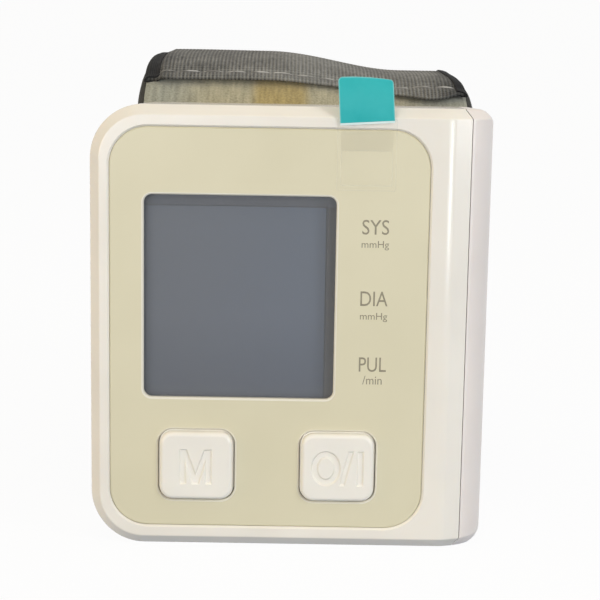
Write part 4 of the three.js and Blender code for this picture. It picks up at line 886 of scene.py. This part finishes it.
# Inside the case: the switches, the board with its parts, and the pump, valve and tubes of the air
# line. They keep the model's solids and are only given their finish.
steel = grained("plated_steel", (0.52, 0.52, 0.53), (0.66, 0.66, 0.66), 0.3, 300.0, 1.0)
black_plastic = moulded_plastic("black_plastic", (0.03, 0.03, 0.033), 0.45)
white_plastic = moulded_plastic("white_plastic", (0.70, 0.70, 0.67), 0.4)
grey_rubber = grained("grey_rubber", (0.26, 0.26, 0.25), (0.33, 0.33, 0.32), 0.62, 200.0)
laminate = grained("board_laminate", (0.014, 0.095, 0.04), (0.028, 0.145, 0.065), 0.35, 420.0)
dressed(steel, "memory_switch", "power_switch", "exhaust_valve", "pump_motor")
dressed(black_plastic, "memory_plunger", "power_plunger", "controller_chip", "buzzer",
        "pressure_sensor", "pump_head", "cuff_anchor")
dressed(grey_rubber, "lcd_connector", "pump_sleeve", "pump_tube", "valve_tube")
dressed(laminate, "main_board")
dressed(white_plastic, "air_manifold", "cuff_stiffener")


# Battery bay: an ivory tray with two AAA cells, head to tail, between stamped contacts. A conical
# coil spring presses on the flat end of each cell.
CELL_X = 22.63
CELL_RADIUS, CELL_LENGTH = 5.25, 44.5
NUB_RADIUS, NUB_RISE = 1.8, 1.0
SHOULDER = CELL_LENGTH - NUB_RISE
JACKET_FROM, JACKET_TO, JACKET_EDGE = 0.25, SHOULDER - 0.35, 0.6
AXLE = 0.02
# Cells: Y, the height of the flat end, and the way up. Ends: (radius, distance from the flat end).
CELLS = {"front": (-6.425, 17.775, 1), "rear": (4.475, 58.275, -1)}
CELL_ENDS = {
    "base": ((4.4, 0.0), (4.5, 0.1), (4.5, 0.6)),
    "nub": ((4.2, SHOULDER - 0.6), (4.2, SHOULDER - 0.05), (4.0, SHOULDER), (2.1, SHOULDER),
            (NUB_RADIUS, SHOULDER + 0.15), (NUB_RADIUS, CELL_LENGTH - 0.25),
            (NUB_RADIUS - 0.25, CELL_LENGTH))}
# Springs: the cell, the height of the foot, and the way up.
SPRINGS = {"bridge_spring": ("front", 13.775, 1), "negative_spring": ("rear", 62.275, -1)}
SPRING_BASE, SPRING_TIP, SPRING_WIRE = 3.3, 2.1, 0.5
SPRING_HEIGHT, SPRING_TURNS = 4.0, 3.25


def turned(x, y, profile):
    """Body turned round an upright axis: rings of each radius at each height, (radius, z)."""
    radius, z = np.array(profile, float).T[..., None]
    rim_x, rim_y = circle(72).T
    return lofted("turned", np.stack(
        np.broadcast_arrays(x + radius * rim_x, y + radius * rim_y, z), -1))


def softened(radius, low, high, edge):
    """Profile of a drum with rounded rims: quarter circles of an edge radius at both ends."""
    t = np.linspace(0, np.pi / 2, 7)
    foot = [(radius - edge + edge * math.sin(a), low + edge * (1 - math.cos(a))) for a in t]
    head = [(radius - edge + edge * math.cos(a), high - edge * (1 - math.sin(a))) for a in t]
    return [(AXLE, low), *foot, *head, (AXLE, high)]


# Painted shade and light: the jackets are coloured darker towards the bottom of the bay and paler
# towards its top.
jacket = finish("cell_jacket", lambda tree: {
    "Base Color": ramp(
        tree, up_piece(tree, BAY_BOTTOM, BAY_TOP), (0.0, (0.050, 0.068, 0.088)),
        (0.5, (0.062, 0.082, 0.103)), (1.0, (0.072, 0.094, 0.116))),
    "Roughness": 0.32})
dressed(ivory, "battery_tray")
dressed(steel, "positive_terminal", "negative_terminal", "bridge_contact")
for cell, (y, base, way) in CELLS.items():
    ends = sorted((base + way * JACKET_FROM, base + way * JACKET_TO))
    wrap = turned(CELL_X, y, softened(CELL_RADIUS, *ends, JACKET_EDGE))
    finished(wrap, f"cell_{cell}_jacket", jacket, "case", "cell_jacket", f"battery_{cell}")
    for end, profile in CELL_ENDS.items():
        cap = turned(CELL_X, y, [(radius, base + way * at) for radius, at in profile])
        finished(cap, f"cell_{cell}_{end}", steel, "case", "steel")

spring_t = np.linspace(0, 1, 240)[:, None]
spring_wind = 2 * np.pi * SPRING_TURNS * spring_t
wire_out, wire_up = SPRING_WIRE / 2 * circle(12).T[:, None]
coil = SPRING_BASE + (SPRING_TIP - SPRING_BASE) * spring_t + wire_out
lift = SPRING_WIRE / 2 + (SPRING_HEIGHT - SPRING_WIRE - 2 * FIT) * spring_t + wire_up
for name, (cell, foot, way) in SPRINGS.items():
    wire = np.stack((
        CELL_X + coil * np.cos(spring_wind), CELLS[cell][0] + way * coil * np.sin(spring_wind),
        foot + way * lift), -1)
    finished(lofted("spring", wire), f"{name}_wire", steel, "case", "steel", name)


# Screws: four cross-headed screws in the wells of the rear cover, and four inside the case that
# hold the cuff's anchor plate.
SCREW_HEAD, SCREW_SHANK, SCREW_TIP = 2.0, 1.1, 0.6
HEAD_THICK, HEAD_EDGE, TIP_LENGTH = 1.2, 0.5, 0.8
CROSS_HALF, CROSS_ARM, CROSS_DEPTH = 0.275, 1.4, 0.8
dressed(steel, *(name for name in cad if name.startswith("anchor_screw")))
for name, (x, z) in screw_places.items():
    tip, head = (corner.y / MM for corner in screw_boxes[name])
    t = np.linspace(0, np.pi / 2, 6)
    radii = np.concatenate((
        (SCREW_TIP, SCREW_SHANK, SCREW_SHANK, SCREW_HEAD),
        SCREW_HEAD - HEAD_EDGE * (1 - np.cos(t))))
    depths = np.concatenate((
        (tip, tip + TIP_LENGTH, head - HEAD_THICK, head - HEAD_THICK),
        head - HEAD_EDGE * (1 - np.sin(t))))
    screw = worked(
        lofted("screw", rings_at((x, z) + radii[:, None, None] * circle(48), depths)),
        *cuts(*(block(x - wide, head - CROSS_DEPTH, z - tall, x + wide, FAR, z + tall)
                for wide, tall in ((CROSS_ARM, CROSS_HALF), (CROSS_HALF, CROSS_ARM)))))
    finished(screw, f"{name}_turned", steel, "case", "steel", name)


# Cuff cover: dark grey ribbed cloth, the outer face of the padded wrist band. It is one loop
# behind the case, sewn to its lining along both sides, and its right end hangs a little lower.
CUFF_LEFT, CUFF_RIGHT = -29.6, 34.2
CUFF_SAG, SAG_FROM, SAG_TO = 3.0, -5.0, 21.0
HINGE_ANGLE, SHORT_END = -150.0, 125.0
CUFF_THICK, CLOTH_THICK = 6.8, 0.9
SEAM_INSET = 0.5
RIB_PITCH = 0.70
UV_UNIT = 100.0
WAVE_UNIT = 2 * math.pi / 20
# Cloth tones: where the ramp starts and ends, how far its sides are darkened by painted shade and
# over what band and softness, and its paler bands as (from, to, softness, weight).
RIB_LOW, RIB_HIGH = 0.38, 0.82
SIDE_SHADE, SIDE_SHADE_BAND, SIDE_SHADE_SOFT = 0.35, 5.4, 2.9
PALE_BANDS = ((-5.0, 27.0, 8.0, 0.11), (-4.0, 9.0, 4.0, 0.06))
# Waves of the slack cloth: height, then turns per degree, per millimetre and the phase.
SLACK = ((0.5, 0.16, 0.11, 0.0), (0.35, 0.09, -0.19, 1.3), (0.15, 0.31, 0.05, 2.1))
# Faces of the cover and the lining: depth, slack or pucker, and falls to a seam as (reach, drop).
COVER_DEPTH, COVER_SLACK, COVER_FALL = 0.1, 0.1, (4.5, 1.7)
LINING_DEPTH, PUCKER = CUFF_THICK - 0.3, 0.18
LINING_SIDE_FALL, LINING_END_FALL = (7.0, 2.6), (6.0, 3.0)
DEGREE_LENGTH = 0.65


def eased(low, high, value):
    """0 below low, 1 above high, and 3t^2 - 2t^3 between them."""
    t = np.clip((value - low) / (high - low), 0, 1)
    return t * t * (3 - 2 * t)


def cuff_point(angle, depth, x):
    """Point of the cuff at an angle round the loop, 0 at the case and 90 at the top: on the oval,
    then inwards along its normal by a depth, and down where the top sags."""
    angle, depth, x = np.broadcast_arrays(*np.atleast_1d(angle, depth, x))
    c, s = np.cos(np.radians(angle)), np.sin(np.radians(angle))
    a, b, n = LOOP_HALF_DEPTH, LOOP_HALF_HEIGHT, LOOP_SQUARENESS
    reach = loop_reach(c, s)
    normal_y = np.sign(c) * np.abs(reach * c / a) ** (n - 1) / a
    normal_z = np.sign(s) * np.abs(reach * s / b) ** (n - 1) / b
    length = np.hypot(normal_y, normal_z)
    forward = reach * c - depth * normal_y / length
    up = reach * s - depth * normal_z / length
    sag = CUFF_SAG * eased(SAG_FROM, SAG_TO, x) * np.maximum(up / b, 0) ** 2
    return np.stack((x, LOOP_Y - forward, LOOP_Z + up - sag), -1)


def cloth(face, back, across):
    """Closed cloth between two grids of points, rows along the loop, joined along all four edges,
    with a UV map of the way across (given) and along (measured down the middle)."""
    points = np.concatenate((face, back[:, ::-1]), 1)
    rows, columns = points.shape[:2]
    edge = np.arange(columns // 2 - 1)
    cap = np.stack((edge, columns - 1 - edge, columns - 2 - edge, edge + 1), -1)
    faces = np.concatenate(
        (strip_faces(rows, columns), cap, cap[:, ::-1] + (rows - 1) * columns))
    p, q, r, s = np.moveaxis(points.reshape(-1, 3)[faces], 1, 0)
    if np.sum(np.cross(q - p, r - p) * p + np.cross(r - p, s - p) * p) < 0:
        faces = faces[:, ::-1]
    made = skin("cloth", points, faces.tolist())
    step = np.linalg.norm(np.diff(face[:, face.shape[1] // 2], axis=0), axis=1)
    along = np.append(0.0, np.cumsum(step))[:, None] + np.zeros(columns)
    across = np.broadcast_to(across, face.shape[:2])
    flat = np.stack((np.concatenate((across, across[:, ::-1]), 1), along), -1) / UV_UNIT
    corners = np.empty(len(made.data.loops), np.int32)
    made.data.loops.foreach_get("vertex_index", corners)
    layer = made.data.uv_layers.new(name="cloth")
    layer.data.foreach_set("uv", flat.reshape(-1, 2)[corners].astype(np.float32).ravel())
    return made


def between_depths(angle, outer, inner, x):
    """Cloth on the cuff between two depths."""
    return cloth(cuff_point(angle, outer, x), cuff_point(angle, inner, x), x)


def uv_place(tree):
    """Place on the cloth's UV map."""
    return node(tree, "UVMap", {}, uv_map="cloth").outputs["UV"]


def uv_noise(tree, scale, detail, stretch=(1.0, 1.0)):
    """Noise over the cloth, stretched across and along it."""
    return noise(tree, scale, detail, (*stretch, 1.0), uv_place(tree))


def weighed(tree, *terms):
    """Sum of factors, each given as (socket, weight)."""
    total = 0.0
    for socket, weight in terms:
        total = reckoned(tree, "MULTIPLY_ADD", socket, weight, total)
    return total


def uv_waves(tree, across, along, share=0.5):
    """Ridges from 0 to 1 across and along the cloth, a pitch apart, the first with a share."""
    ridges = (node(
        tree, "TexWave", {"Vector": uv_place(tree), "Scale": WAVE_UNIT * UV_UNIT / pitch},
        bands_direction=axis).outputs["Fac"] for axis, pitch in (("X", across), ("Y", along)))
    return weighed(tree, *zip(ridges, (share, 1 - share)))


def uv_window(tree, low, high, soft):
    """1 between two places across the cloth, 0 outside, with soft borders."""
    across = axis_of(tree, uv_place(tree), "X")
    return reckoned(tree, "MULTIPLY", *(
        risen(tree, across, (at - way * soft) / UV_UNIT, (at + way * soft) / UV_UNIT, "SMOOTHSTEP")
        for at, way in ((low, 1), (high, -1))))


def ribbed_cloth(name, dark, pale, pitch=RIB_PITCH):
    """Knitted rib: crests painted pale as highlight and furrows painted dark as shade along the
    cloth, uneven here and there, cut into stitches by a finer wave across it, with yarns and
    patches of uneven tone. Its sides are darkened by painted shade."""
    def look(tree):
        ribs = uv_waves(tree, pitch, 0.7, 0.65)
        # Painted highlight on the crests and painted shade in the furrows, uneven by a noise.
        patchy_crest_highlight = reckoned(tree, "MULTIPLY", ribs, uv_noise(tree, 14.0, 3.0, (1.0, 1.6)))
        tone = weighed(
            tree, (patchy_crest_highlight, 0.58), (uv_noise(tree, 150.0, 3.0, (1.0, 0.4)), 0.45),
            (uv_noise(tree, 9.0, 2.0), 0.35),
            *((uv_window(tree, *band), weight) for *band, weight in PALE_BANDS))
        # Painted shade: the cloth's colour is darkened towards its sides, where they turn down.
        unshaded_middle = uv_window(tree, CUFF_LEFT + SIDE_SHADE_BAND, CUFF_RIGHT - SIDE_SHADE_BAND, SIDE_SHADE_SOFT)
        tones = (
            ramp(tree, tone, (RIB_LOW, np.multiply(dim, dark)), (RIB_HIGH, np.multiply(dim, pale)))
            for dim in (SIDE_SHADE, 1.0))
        return {
            "Base Color": mixed(tree, unshaded_middle, *tones), "Normal": relief(tree, ribs, 0.1),
            "Roughness": 0.85, "Specular IOR Level": 0.15,
            "Sheen Weight": 0.1, "Sheen Roughness": 0.5}
    return finish(name, look)


def fall(from_side, reach, drop):
    """Fall of a cloth's face towards a side: drop times (1 - sqrt(1 - t^2)), where t runs from 0
    at a reach from the side to 1 at the side."""
    t = np.clip(1 - from_side / reach, 0, 1)
    return drop * (1 - np.sqrt(1 - t * t))


def slack(angle, x):
    """Unevenness of cloth from -1 to 1: three waves of unlike length and direction, summed."""
    return sum(high * np.sin(u * angle + v * x + phase) for high, u, v, phase in SLACK)


def gap_to(value, low, high):
    """Distance to the nearer of two sides."""
    return np.minimum(value - low, high - value)


def cover_depth(angle, x):
    """Depth of the cover's outer face: it falls to the seam along each side."""
    side = fall(gap_to(x, CUFF_LEFT, CUFF_RIGHT), *COVER_FALL)
    return COVER_DEPTH + COVER_SLACK * slack(angle, x) + side


def lining_depth(angle, x):
    """Depth of the lining's inner face: it rises to the seams along its sides and ends, with small
    puckers across."""
    pucker = PUCKER * np.sin(0.54 * angle) * np.sin(0.12 * angle + 0.08 * x)
    end = fall(DEGREE_LENGTH * gap_to(angle, HINGE_ANGLE, SHORT_END), *LINING_END_FALL)
    side = fall(gap_to(x, CUFF_LEFT, CUFF_RIGHT), *LINING_SIDE_FALL)
    return LINING_DEPTH + pucker - np.maximum(side, end)


cuff_cloth = ribbed_cloth("cuff_cloth", (0.052, 0.052, 0.049), (0.295, 0.292, 0.272))
loop_angle = np.linspace(HINGE_ANGLE, SHORT_END, 190)[:, None]
cuff_x = np.linspace(CUFF_LEFT + SEAM_INSET, CUFF_RIGHT - SEAM_INSET, 110)[None]
cover_face = cover_depth(loop_angle, cuff_x)
cuff_cover = between_depths(loop_angle, cover_face, cover_face + CLOTH_THICK, cuff_x)
finished(cuff_cover, "cover_cloth", cuff_cloth, "case", "cuff_cloth", "cuff_cover")


# Lining: smooth dark cloth against the wrist. It swells over the air bladder and puckers across
# the loop where its inner curve is shorter than the cover's.
lining_cloth = ribbed_cloth("lining_cloth", (0.045, 0.044, 0.043), (0.115, 0.112, 0.108), 0.55)
lining_face = lining_depth(loop_angle, cuff_x)
lining = between_depths(loop_angle, lining_face - CLOTH_THICK, lining_face, cuff_x)
finished(lining, "lining_cloth", lining_cloth, "case", "lining_cloth", "cuff_lining")


# Side bindings: dark grey woven tape folded over the sewn sides of the cuff.
TAPE_THICK, TAPE_REACH = 0.35, 1.1
TAPE_BULGE, TAPE_FOLD = 0.9, 0.4
TAPE_RIM, TAPE_RIM_THIN = 0.08, 0.3
TAPE_MAP = 4.0


def woven_tape(name, color):
    """Narrow woven tape: a fine twill of two waves, dark with a little dust."""
    def look(tree):
        twill = uv_waves(tree, 0.5, 0.4)
        tone = weighed(tree, (twill, 0.5), (uv_noise(tree, 60.0, 3.0), 0.5))
        return {
            "Base Color": ramp(tree, tone, (0.25, color), (0.8, np.multiply(3.0, color))),
            "Normal": relief(tree, twill, 0.05), "Roughness": 0.8, "Specular IOR Level": 0.1}
    return finish(name, look)


def folded_tape(angle, edge, inward, reach, face, underside):
    """Tape folded over the side of a cloth. Across it, s runs from -1 on the face to 1 on the
    underside; its middle turns half round the side as (cos, sin) and its ends lie on the faces,
    whose depths are functions of angle and x. Inward is +1 or -1 along X."""
    s = np.linspace(-1, 1, 33)[None]
    swing = np.clip(s / TAPE_FOLD, -1, 1) * np.pi / 2
    bulge = min(reach / 2, TAPE_BULGE)
    flat = np.maximum(np.abs(s) - TAPE_FOLD, 0) / (1 - TAPE_FOLD)
    x = edge + inward * (bulge * (1 - np.cos(swing)) + flat * (reach - bulge))
    top, low = face(angle, x), underside(angle, x)
    depth = (top + low) / 2 + (low - top) / 2 * np.sin(swing)
    thin = np.clip((1 - np.abs(s)) / TAPE_RIM, TAPE_RIM_THIN, 1) * TAPE_THICK
    outside = cuff_point(angle, depth + thin * np.sin(swing), x - inward * thin * np.cos(swing))
    return cloth(outside, cuff_point(angle, depth, x), TAPE_MAP * s)


side_tape = woven_tape("side_tape", (0.034, 0.034, 0.032))
for side, edge, inward in (
        ("left", CUFF_LEFT + TAPE_THICK, 1.0), ("right", CUFF_RIGHT - TAPE_THICK, -1.0)):
    tape = folded_tape(loop_angle, edge, inward, TAPE_REACH, cover_depth, lining_depth)
    finished(
        tape, f"binding_{side}", side_tape, "case", "binding_tape", f"cuff_binding_{side}")


# Loop panel: a beige brushed pile over the front and the top of the cover, which the hooks of the
# tail grip. It is greyer at its sides and has an ochre field sewn into its middle.
PANEL_START, PANEL_END = 38.0, SHORT_END - 0.5
PANEL_INSET = 1.5
PANEL_RISE, PANEL_THICK = 0.8, 0.6
# Fields of the pile: from, to and softness of the beige middle and of the ochre one.
BEIGE_FIELD, OCHRE_FIELD = (-19.5, 22.0, 5.0), (-7.6, 2.4, 1.3)


def pile_look(tree):
    """Tufts drawn out along the cloth, in grey at the sides, beige inside them and ochre."""
    tuft = weighed(
        tree, (uv_noise(tree, 230.0, 3.0), 0.5), (uv_noise(tree, 120.0, 2.0, (1.0, 0.12)), 0.5))
    grey = toned(tree, tuft, (0.190, 0.195, 0.152), (0.430, 0.430, 0.345))
    beige = toned(tree, tuft, (0.255, 0.234, 0.152), (0.565, 0.516, 0.350))
    ochre = toned(tree, tuft, (0.255, 0.194, 0.068), (0.545, 0.425, 0.178))
    plain = mixed(tree, uv_window(tree, *BEIGE_FIELD), grey, beige)
    return {
        "Base Color": mixed(tree, uv_window(tree, *OCHRE_FIELD), plain, ochre),
        "Normal": relief(tree, tuft, 0.25), "Roughness": 0.9, "Sheen Weight": 0.3}


pile = finish("loop_pile", pile_look)
panel_angle = np.linspace(PANEL_START, PANEL_END, 100)[:, None]
panel_x = np.linspace(CUFF_LEFT + PANEL_INSET, CUFF_RIGHT - PANEL_INSET, 180)[None]
panel_level = cover_depth(panel_angle, panel_x) - PANEL_RISE
panel_face = panel_level + 0.05 * slack(7 * panel_angle, 9 * panel_x)
loop_panel = between_depths(panel_angle, panel_face, panel_level + PANEL_THICK, panel_x)
finished(loop_panel, "pile_panel", pile, "case", "loop_pile", "loop_panel")


# Tail: the free end of the cuff, of the same ribbed cloth. It comes from the seam under the wrist,
# up the far side and over the top, and ends in a turned hem in front, a little askew.
HEM_RISE, TAIL_RISE, TAIL_THICK = 2.4, 2.9, 1.1
TAIL_FROM, LAP_ANGLE = 210.0, 142.0
TAIL_ROOM = 3.0
TAIL_WIDE, TAIL_LONG = 60.8, 113.0
# Lines of the tail: a start, then smooth steps of (height, from, to); the hem also has humps of
# (height, place, width).
TAIL_SIDES = {-1: (-28.2, (0.5, 58.0, 100.0)), 1: (32.75, (-1.7, 58.0, 84.0))}
HEM_LINE = (62.4, (-1.7, -27.0, -24.2), (2.6, 28.0, 33.0))
HEM_HUMPS = ((2.2, 13.0, 8.5), (-1.2, 25.5, 3.5))
STITCH_LINE = (63.6, (0.9, 0.0, 8.0), (0.8, 14.0, 24.0))
# Relief of the tail: reaches of its hem, its bound sides, its stitches and its ribs.
HEM_REACH, THIN_REACH, THIN_SHARE = 7.0, 5.0, 0.6
LEFT_STEP, LEFT_FALL, RIGHT_FALL = (1.8, 3.5), (0.9, 0.5), (3.0, 0.9)
STITCH_DRAW, STITCH_WAVE, DRAW_WIDTH = 0.3, 0.15, 1.0
RIB_HEIGHT, RIB_START, RIB_FADE = 0.08, (1.5, 3.5), (68.0, 78.0)
STITCH_PLAIN, PLAIN_WIDTH, FAR_PLAIN = 0.9, 1.2, 0.8
TUCK, TUCK_REACH, TAIL_SLACK = 1.05, 5.0, 0.15
EDGE_ROUND, EDGE_DROP = 0.35, 0.28
STITCH_PITCH, STITCH_LENGTH, STITCH_RADIUS = 4.4, 3.7, 0.15
FIRST_STITCH, LAST_STITCH, STITCH_LIFT = -24.2, 30.0, 0.1
TAIL_TAPES = (("left", -1, 2.6), ("right", 1, 1.9))
TAPE_START, TAPE_SWEEP = 0.1, 149.0


def bump(x, at, width):
    """A smooth hump of height 1: exp(-((x - at) / width)^2)."""
    return np.exp(-((x - at) / width) ** 2)


def stepped(value, start, *steps):
    """A start plus smooth steps, each given as (height, from, to)."""
    return start + sum(height * eased(low, high, value) for height, low, high in steps)


def hem_angle(x):
    """Angle of the hem across the tail: it pulls back right of the middle, dips by the right side
    and rises where the bound sides lie lower."""
    return stepped(x, *HEM_LINE) + sum(high * bump(x, at, wide) for high, at, wide in HEM_HUMPS)


def stitch_angle(x):
    """Angle of the line of stitches that holds the turned hem."""
    return stepped(x, *STITCH_LINE)


def tail_side(angle, sign):
    """The tail's left (-1) or right (1) side, set a little askew across the cuff."""
    return stepped(angle, *TAIL_SIDES[sign])


def on_tail(angle, share):
    """Place across the cuff at a share of the tail's width."""
    left = tail_side(angle, -1)
    return left + share * (tail_side(angle, 1) - left)


def tail_depth(angle, x):
    """Depth of the tail's outer face: risen over the lap, falling at its hem, stepping down to its
    bound sides, drawn in along the stitches, and ribbed along its length."""
    lap = 1 - eased(LAP_ANGLE, TAIL_FROM, angle)
    dip = (TAIL_RISE - HEM_RISE) * (1 - eased(0, HEM_REACH, angle - hem_angle(x)))
    left, right = x - tail_side(angle, -1), tail_side(angle, 1) - x
    bound = 1 - eased(*LEFT_STEP, left) + fall(right, *RIGHT_FALL) + fall(left, *LEFT_FALL)
    sewn = stitch_angle(x)
    pull = 1 - STITCH_WAVE * (1 - np.cos(2 * np.pi * x / STITCH_PITCH))
    drawn = STITCH_DRAW * bump(angle, sewn, DRAW_WIDTH) * pull
    crests = np.cos(2 * np.pi * x / RIB_PITCH) * eased(*RIB_START, np.minimum(left, right))
    plain = 1 - STITCH_PLAIN * bump(angle, sewn, PLAIN_WIDTH)
    ribs = RIB_HEIGHT * crests * plain * (1 - FAR_PLAIN * eased(*RIB_FADE, angle))
    tucked = TUCK * eased(TAIL_FROM - TUCK_REACH, TAIL_FROM, angle)
    return bound + drawn + ribs + tucked + dip - TAIL_SLACK * slack(angle, x) - TAIL_RISE * lap


def tail_underside(angle, x):
    """Depth of the tail's inner face: the cloth thins to its hem."""
    full = eased(0, THIN_REACH, angle - hem_angle(x))
    return tail_depth(angle, x) + TAIL_THICK * (THIN_SHARE + (1 - THIN_SHARE) * full)


near_edge = np.array((0.0, 0.02, 0.07, 0.14, 0.24, EDGE_ROUND))
from_hem = np.concatenate((
    near_edge, np.linspace(0.6, 14, 36), np.linspace(15.2, TAIL_LONG, 66)))[:, None]
from_left = np.concatenate((
    near_edge, np.linspace(0.5, TAIL_WIDE - 0.5, 350), TAIL_WIDE - near_edge[::-1]))[None]
down, across = from_hem / TAIL_LONG, from_left / TAIL_WIDE
hem_line = hem_angle(on_tail(60.0, across))
tail_angle = hem_line + down * (TAIL_FROM + TAIL_ROOM - hem_line)
tail_x = on_tail(tail_angle, across)
edge_gap = np.minimum(gap_to(from_left, 0.0, TAIL_WIDE), from_hem)
rounding = fall(edge_gap, EDGE_ROUND, EDGE_DROP)
tail_face = tail_depth(tail_angle, tail_x)
tail = between_depths(
    tail_angle, tail_face + rounding, tail_underside(tail_angle, tail_x) - rounding, tail_x)
blended_tail = finished(tail, "tail_cloth", cuff_cloth, None, "cuff_cloth", "cuff_tail")
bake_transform(blended_tail)

# The tail's bindings are the side bindings' tape coloured darker: partly the tape's own near-black,
# partly painted shade where the tail's sides turn down.
shaded_tail_tape = woven_tape("shaded_tail_tape", (0.016, 0.016, 0.0165))
for side, sign, reach in TAIL_TAPES:
    side_angle = hem_angle(tail_side(60.0, sign)) - TAPE_START + down * TAPE_SWEEP
    tape = folded_tape(
        side_angle, tail_side(side_angle, sign), -sign, reach, tail_depth, tail_underside)
    finished(tape, f"tail_binding_{side}", shaded_tail_tape, None, "binding_tape")
    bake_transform(tape)

thread = finish("pale_thread", lambda tree: {
    "Base Color": ramp(
        tree, noise(tree, 320.0), (0.4, (0.17, 0.165, 0.15)), (0.75, (0.60, 0.585, 0.55))),
    "Roughness": 0.6})
dash_middle = np.arange(FIRST_STITCH, LAST_STITCH, STITCH_PITCH)[:, None, None]
dash_way = np.linspace(-1, 1, 11)[None, :, None]
dash_x = dash_middle + dash_way * STITCH_LENGTH / 2
dash_angle = stitch_angle(dash_x)
dash_line = cuff_point(
    dash_angle, tail_depth(dash_angle, dash_x) - STITCH_LIFT * (1 - dash_way**4), dash_x)
dash_y, dash_z = circle(10).T * STITCH_RADIUS
dash_round = np.sqrt(1.02 - dash_way**2)
dash_skin = dash_line + np.stack(
    np.broadcast_arrays(0.0, dash_round * dash_y, dash_round * dash_z), -1)
dashes, rows, columns = dash_skin.shape[:3]
dash_faces = []
for first in np.arange(dashes) * rows * columns:
    foot = np.arange(columns) + first
    dash_faces += (strip_faces(rows, columns)[:, ::-1] + first).tolist()
    dash_faces += [foot.tolist(), (foot + (rows - 1) * columns)[::-1].tolist()]
stitches = skin("stitches", dash_skin, dash_faces)
finished(stitches, "hem_stitches", thread, "tail", "cuff_cloth")


# Hook patch: black hook tape sewn under the tail's end, which grips the pile.
HOOK_START, HOOK_END = 66.5, SHORT_END - 1
HOOK_LEFT, HOOK_RIGHT = -23.4, 28.0
HOOK_BACK, HOOK_RISE, HOOK_PITCH = 1.05, 1.55, 1.4
hook_tape = finish("hook_tape", lambda tree: {
    "Base Color": ramp(
        tree, uv_waves(tree, HOOK_PITCH, HOOK_PITCH), (0.2, (0.008, 0.008, 0.008)),
        (0.9, (0.05, 0.05, 0.05))),
    "Normal": relief(tree, uv_waves(tree, HOOK_PITCH, HOOK_PITCH), 0.3), "Roughness": 0.6})
hook_angle = np.linspace(HOOK_START, HOOK_END, 70)[:, None]
hook_x = np.linspace(HOOK_LEFT, HOOK_RIGHT, 60)[None]
hook_patch = between_depths(hook_angle, -HOOK_RISE, -HOOK_BACK, hook_x)
finished(hook_patch, "hook_tape_patch", hook_tape, "tail", "hook_tape", "hook_patch")


# Air bladder: a welded pouch of grey film between the cover and the lining, fed by the air tube.
BLADDER_FROM, BLADDER_TO = -138.0, 112.0
BLADDER_LEFT, BLADDER_RIGHT = -22.0, 25.2
BLADDER_OUTER, BLADDER_INNER = 2.3, 5.3
WELD, WELD_PINCH = 4.0, 1.35
bladder_film = finish("bladder_film", lambda tree: {
    "Base Color": toned(tree, uv_noise(tree, 20.0, 2.0), (0.10, 0.10, 0.11), (0.16, 0.16, 0.17)),
    "Roughness": 0.5})
bladder_angle = np.linspace(BLADDER_FROM, BLADDER_TO, 120)[:, None]
bladder_x = np.linspace(BLADDER_LEFT, BLADDER_RIGHT, 60)[None]
bladder_side = gap_to(bladder_x, BLADDER_LEFT, BLADDER_RIGHT)
bladder_end = DEGREE_LENGTH * gap_to(bladder_angle, BLADDER_FROM, BLADDER_TO)
pinch = fall(np.minimum(bladder_side, bladder_end), WELD, WELD_PINCH)
bladder = between_depths(bladder_angle, BLADDER_OUTER + pinch, BLADDER_INNER - pinch, bladder_x)
finished(bladder, "bladder_pouch", bladder_film, "case", "grey_rubber", "air_bladder")


def cut_size(angle, depth, x):
    """Width and length in metres of the cloth before it was sewn, measured through its middle."""
    face = cuff_point(angle, depth, x)
    middles = face[face.shape[0] // 2], face[:, face.shape[1] // 2]
    return tuple(
        float(np.linalg.norm(np.diff(line, axis=0), axis=1).sum()) * MM for line in middles)


cut_size(loop_angle, cover_face, cuff_x)
cut_size(loop_angle, lining_face, cuff_x)
cut_size(panel_angle, panel_face, panel_x)
cut_size(hook_angle, -HOOK_RISE, hook_x)
cut_size(tail_angle, tail_face, tail_x)
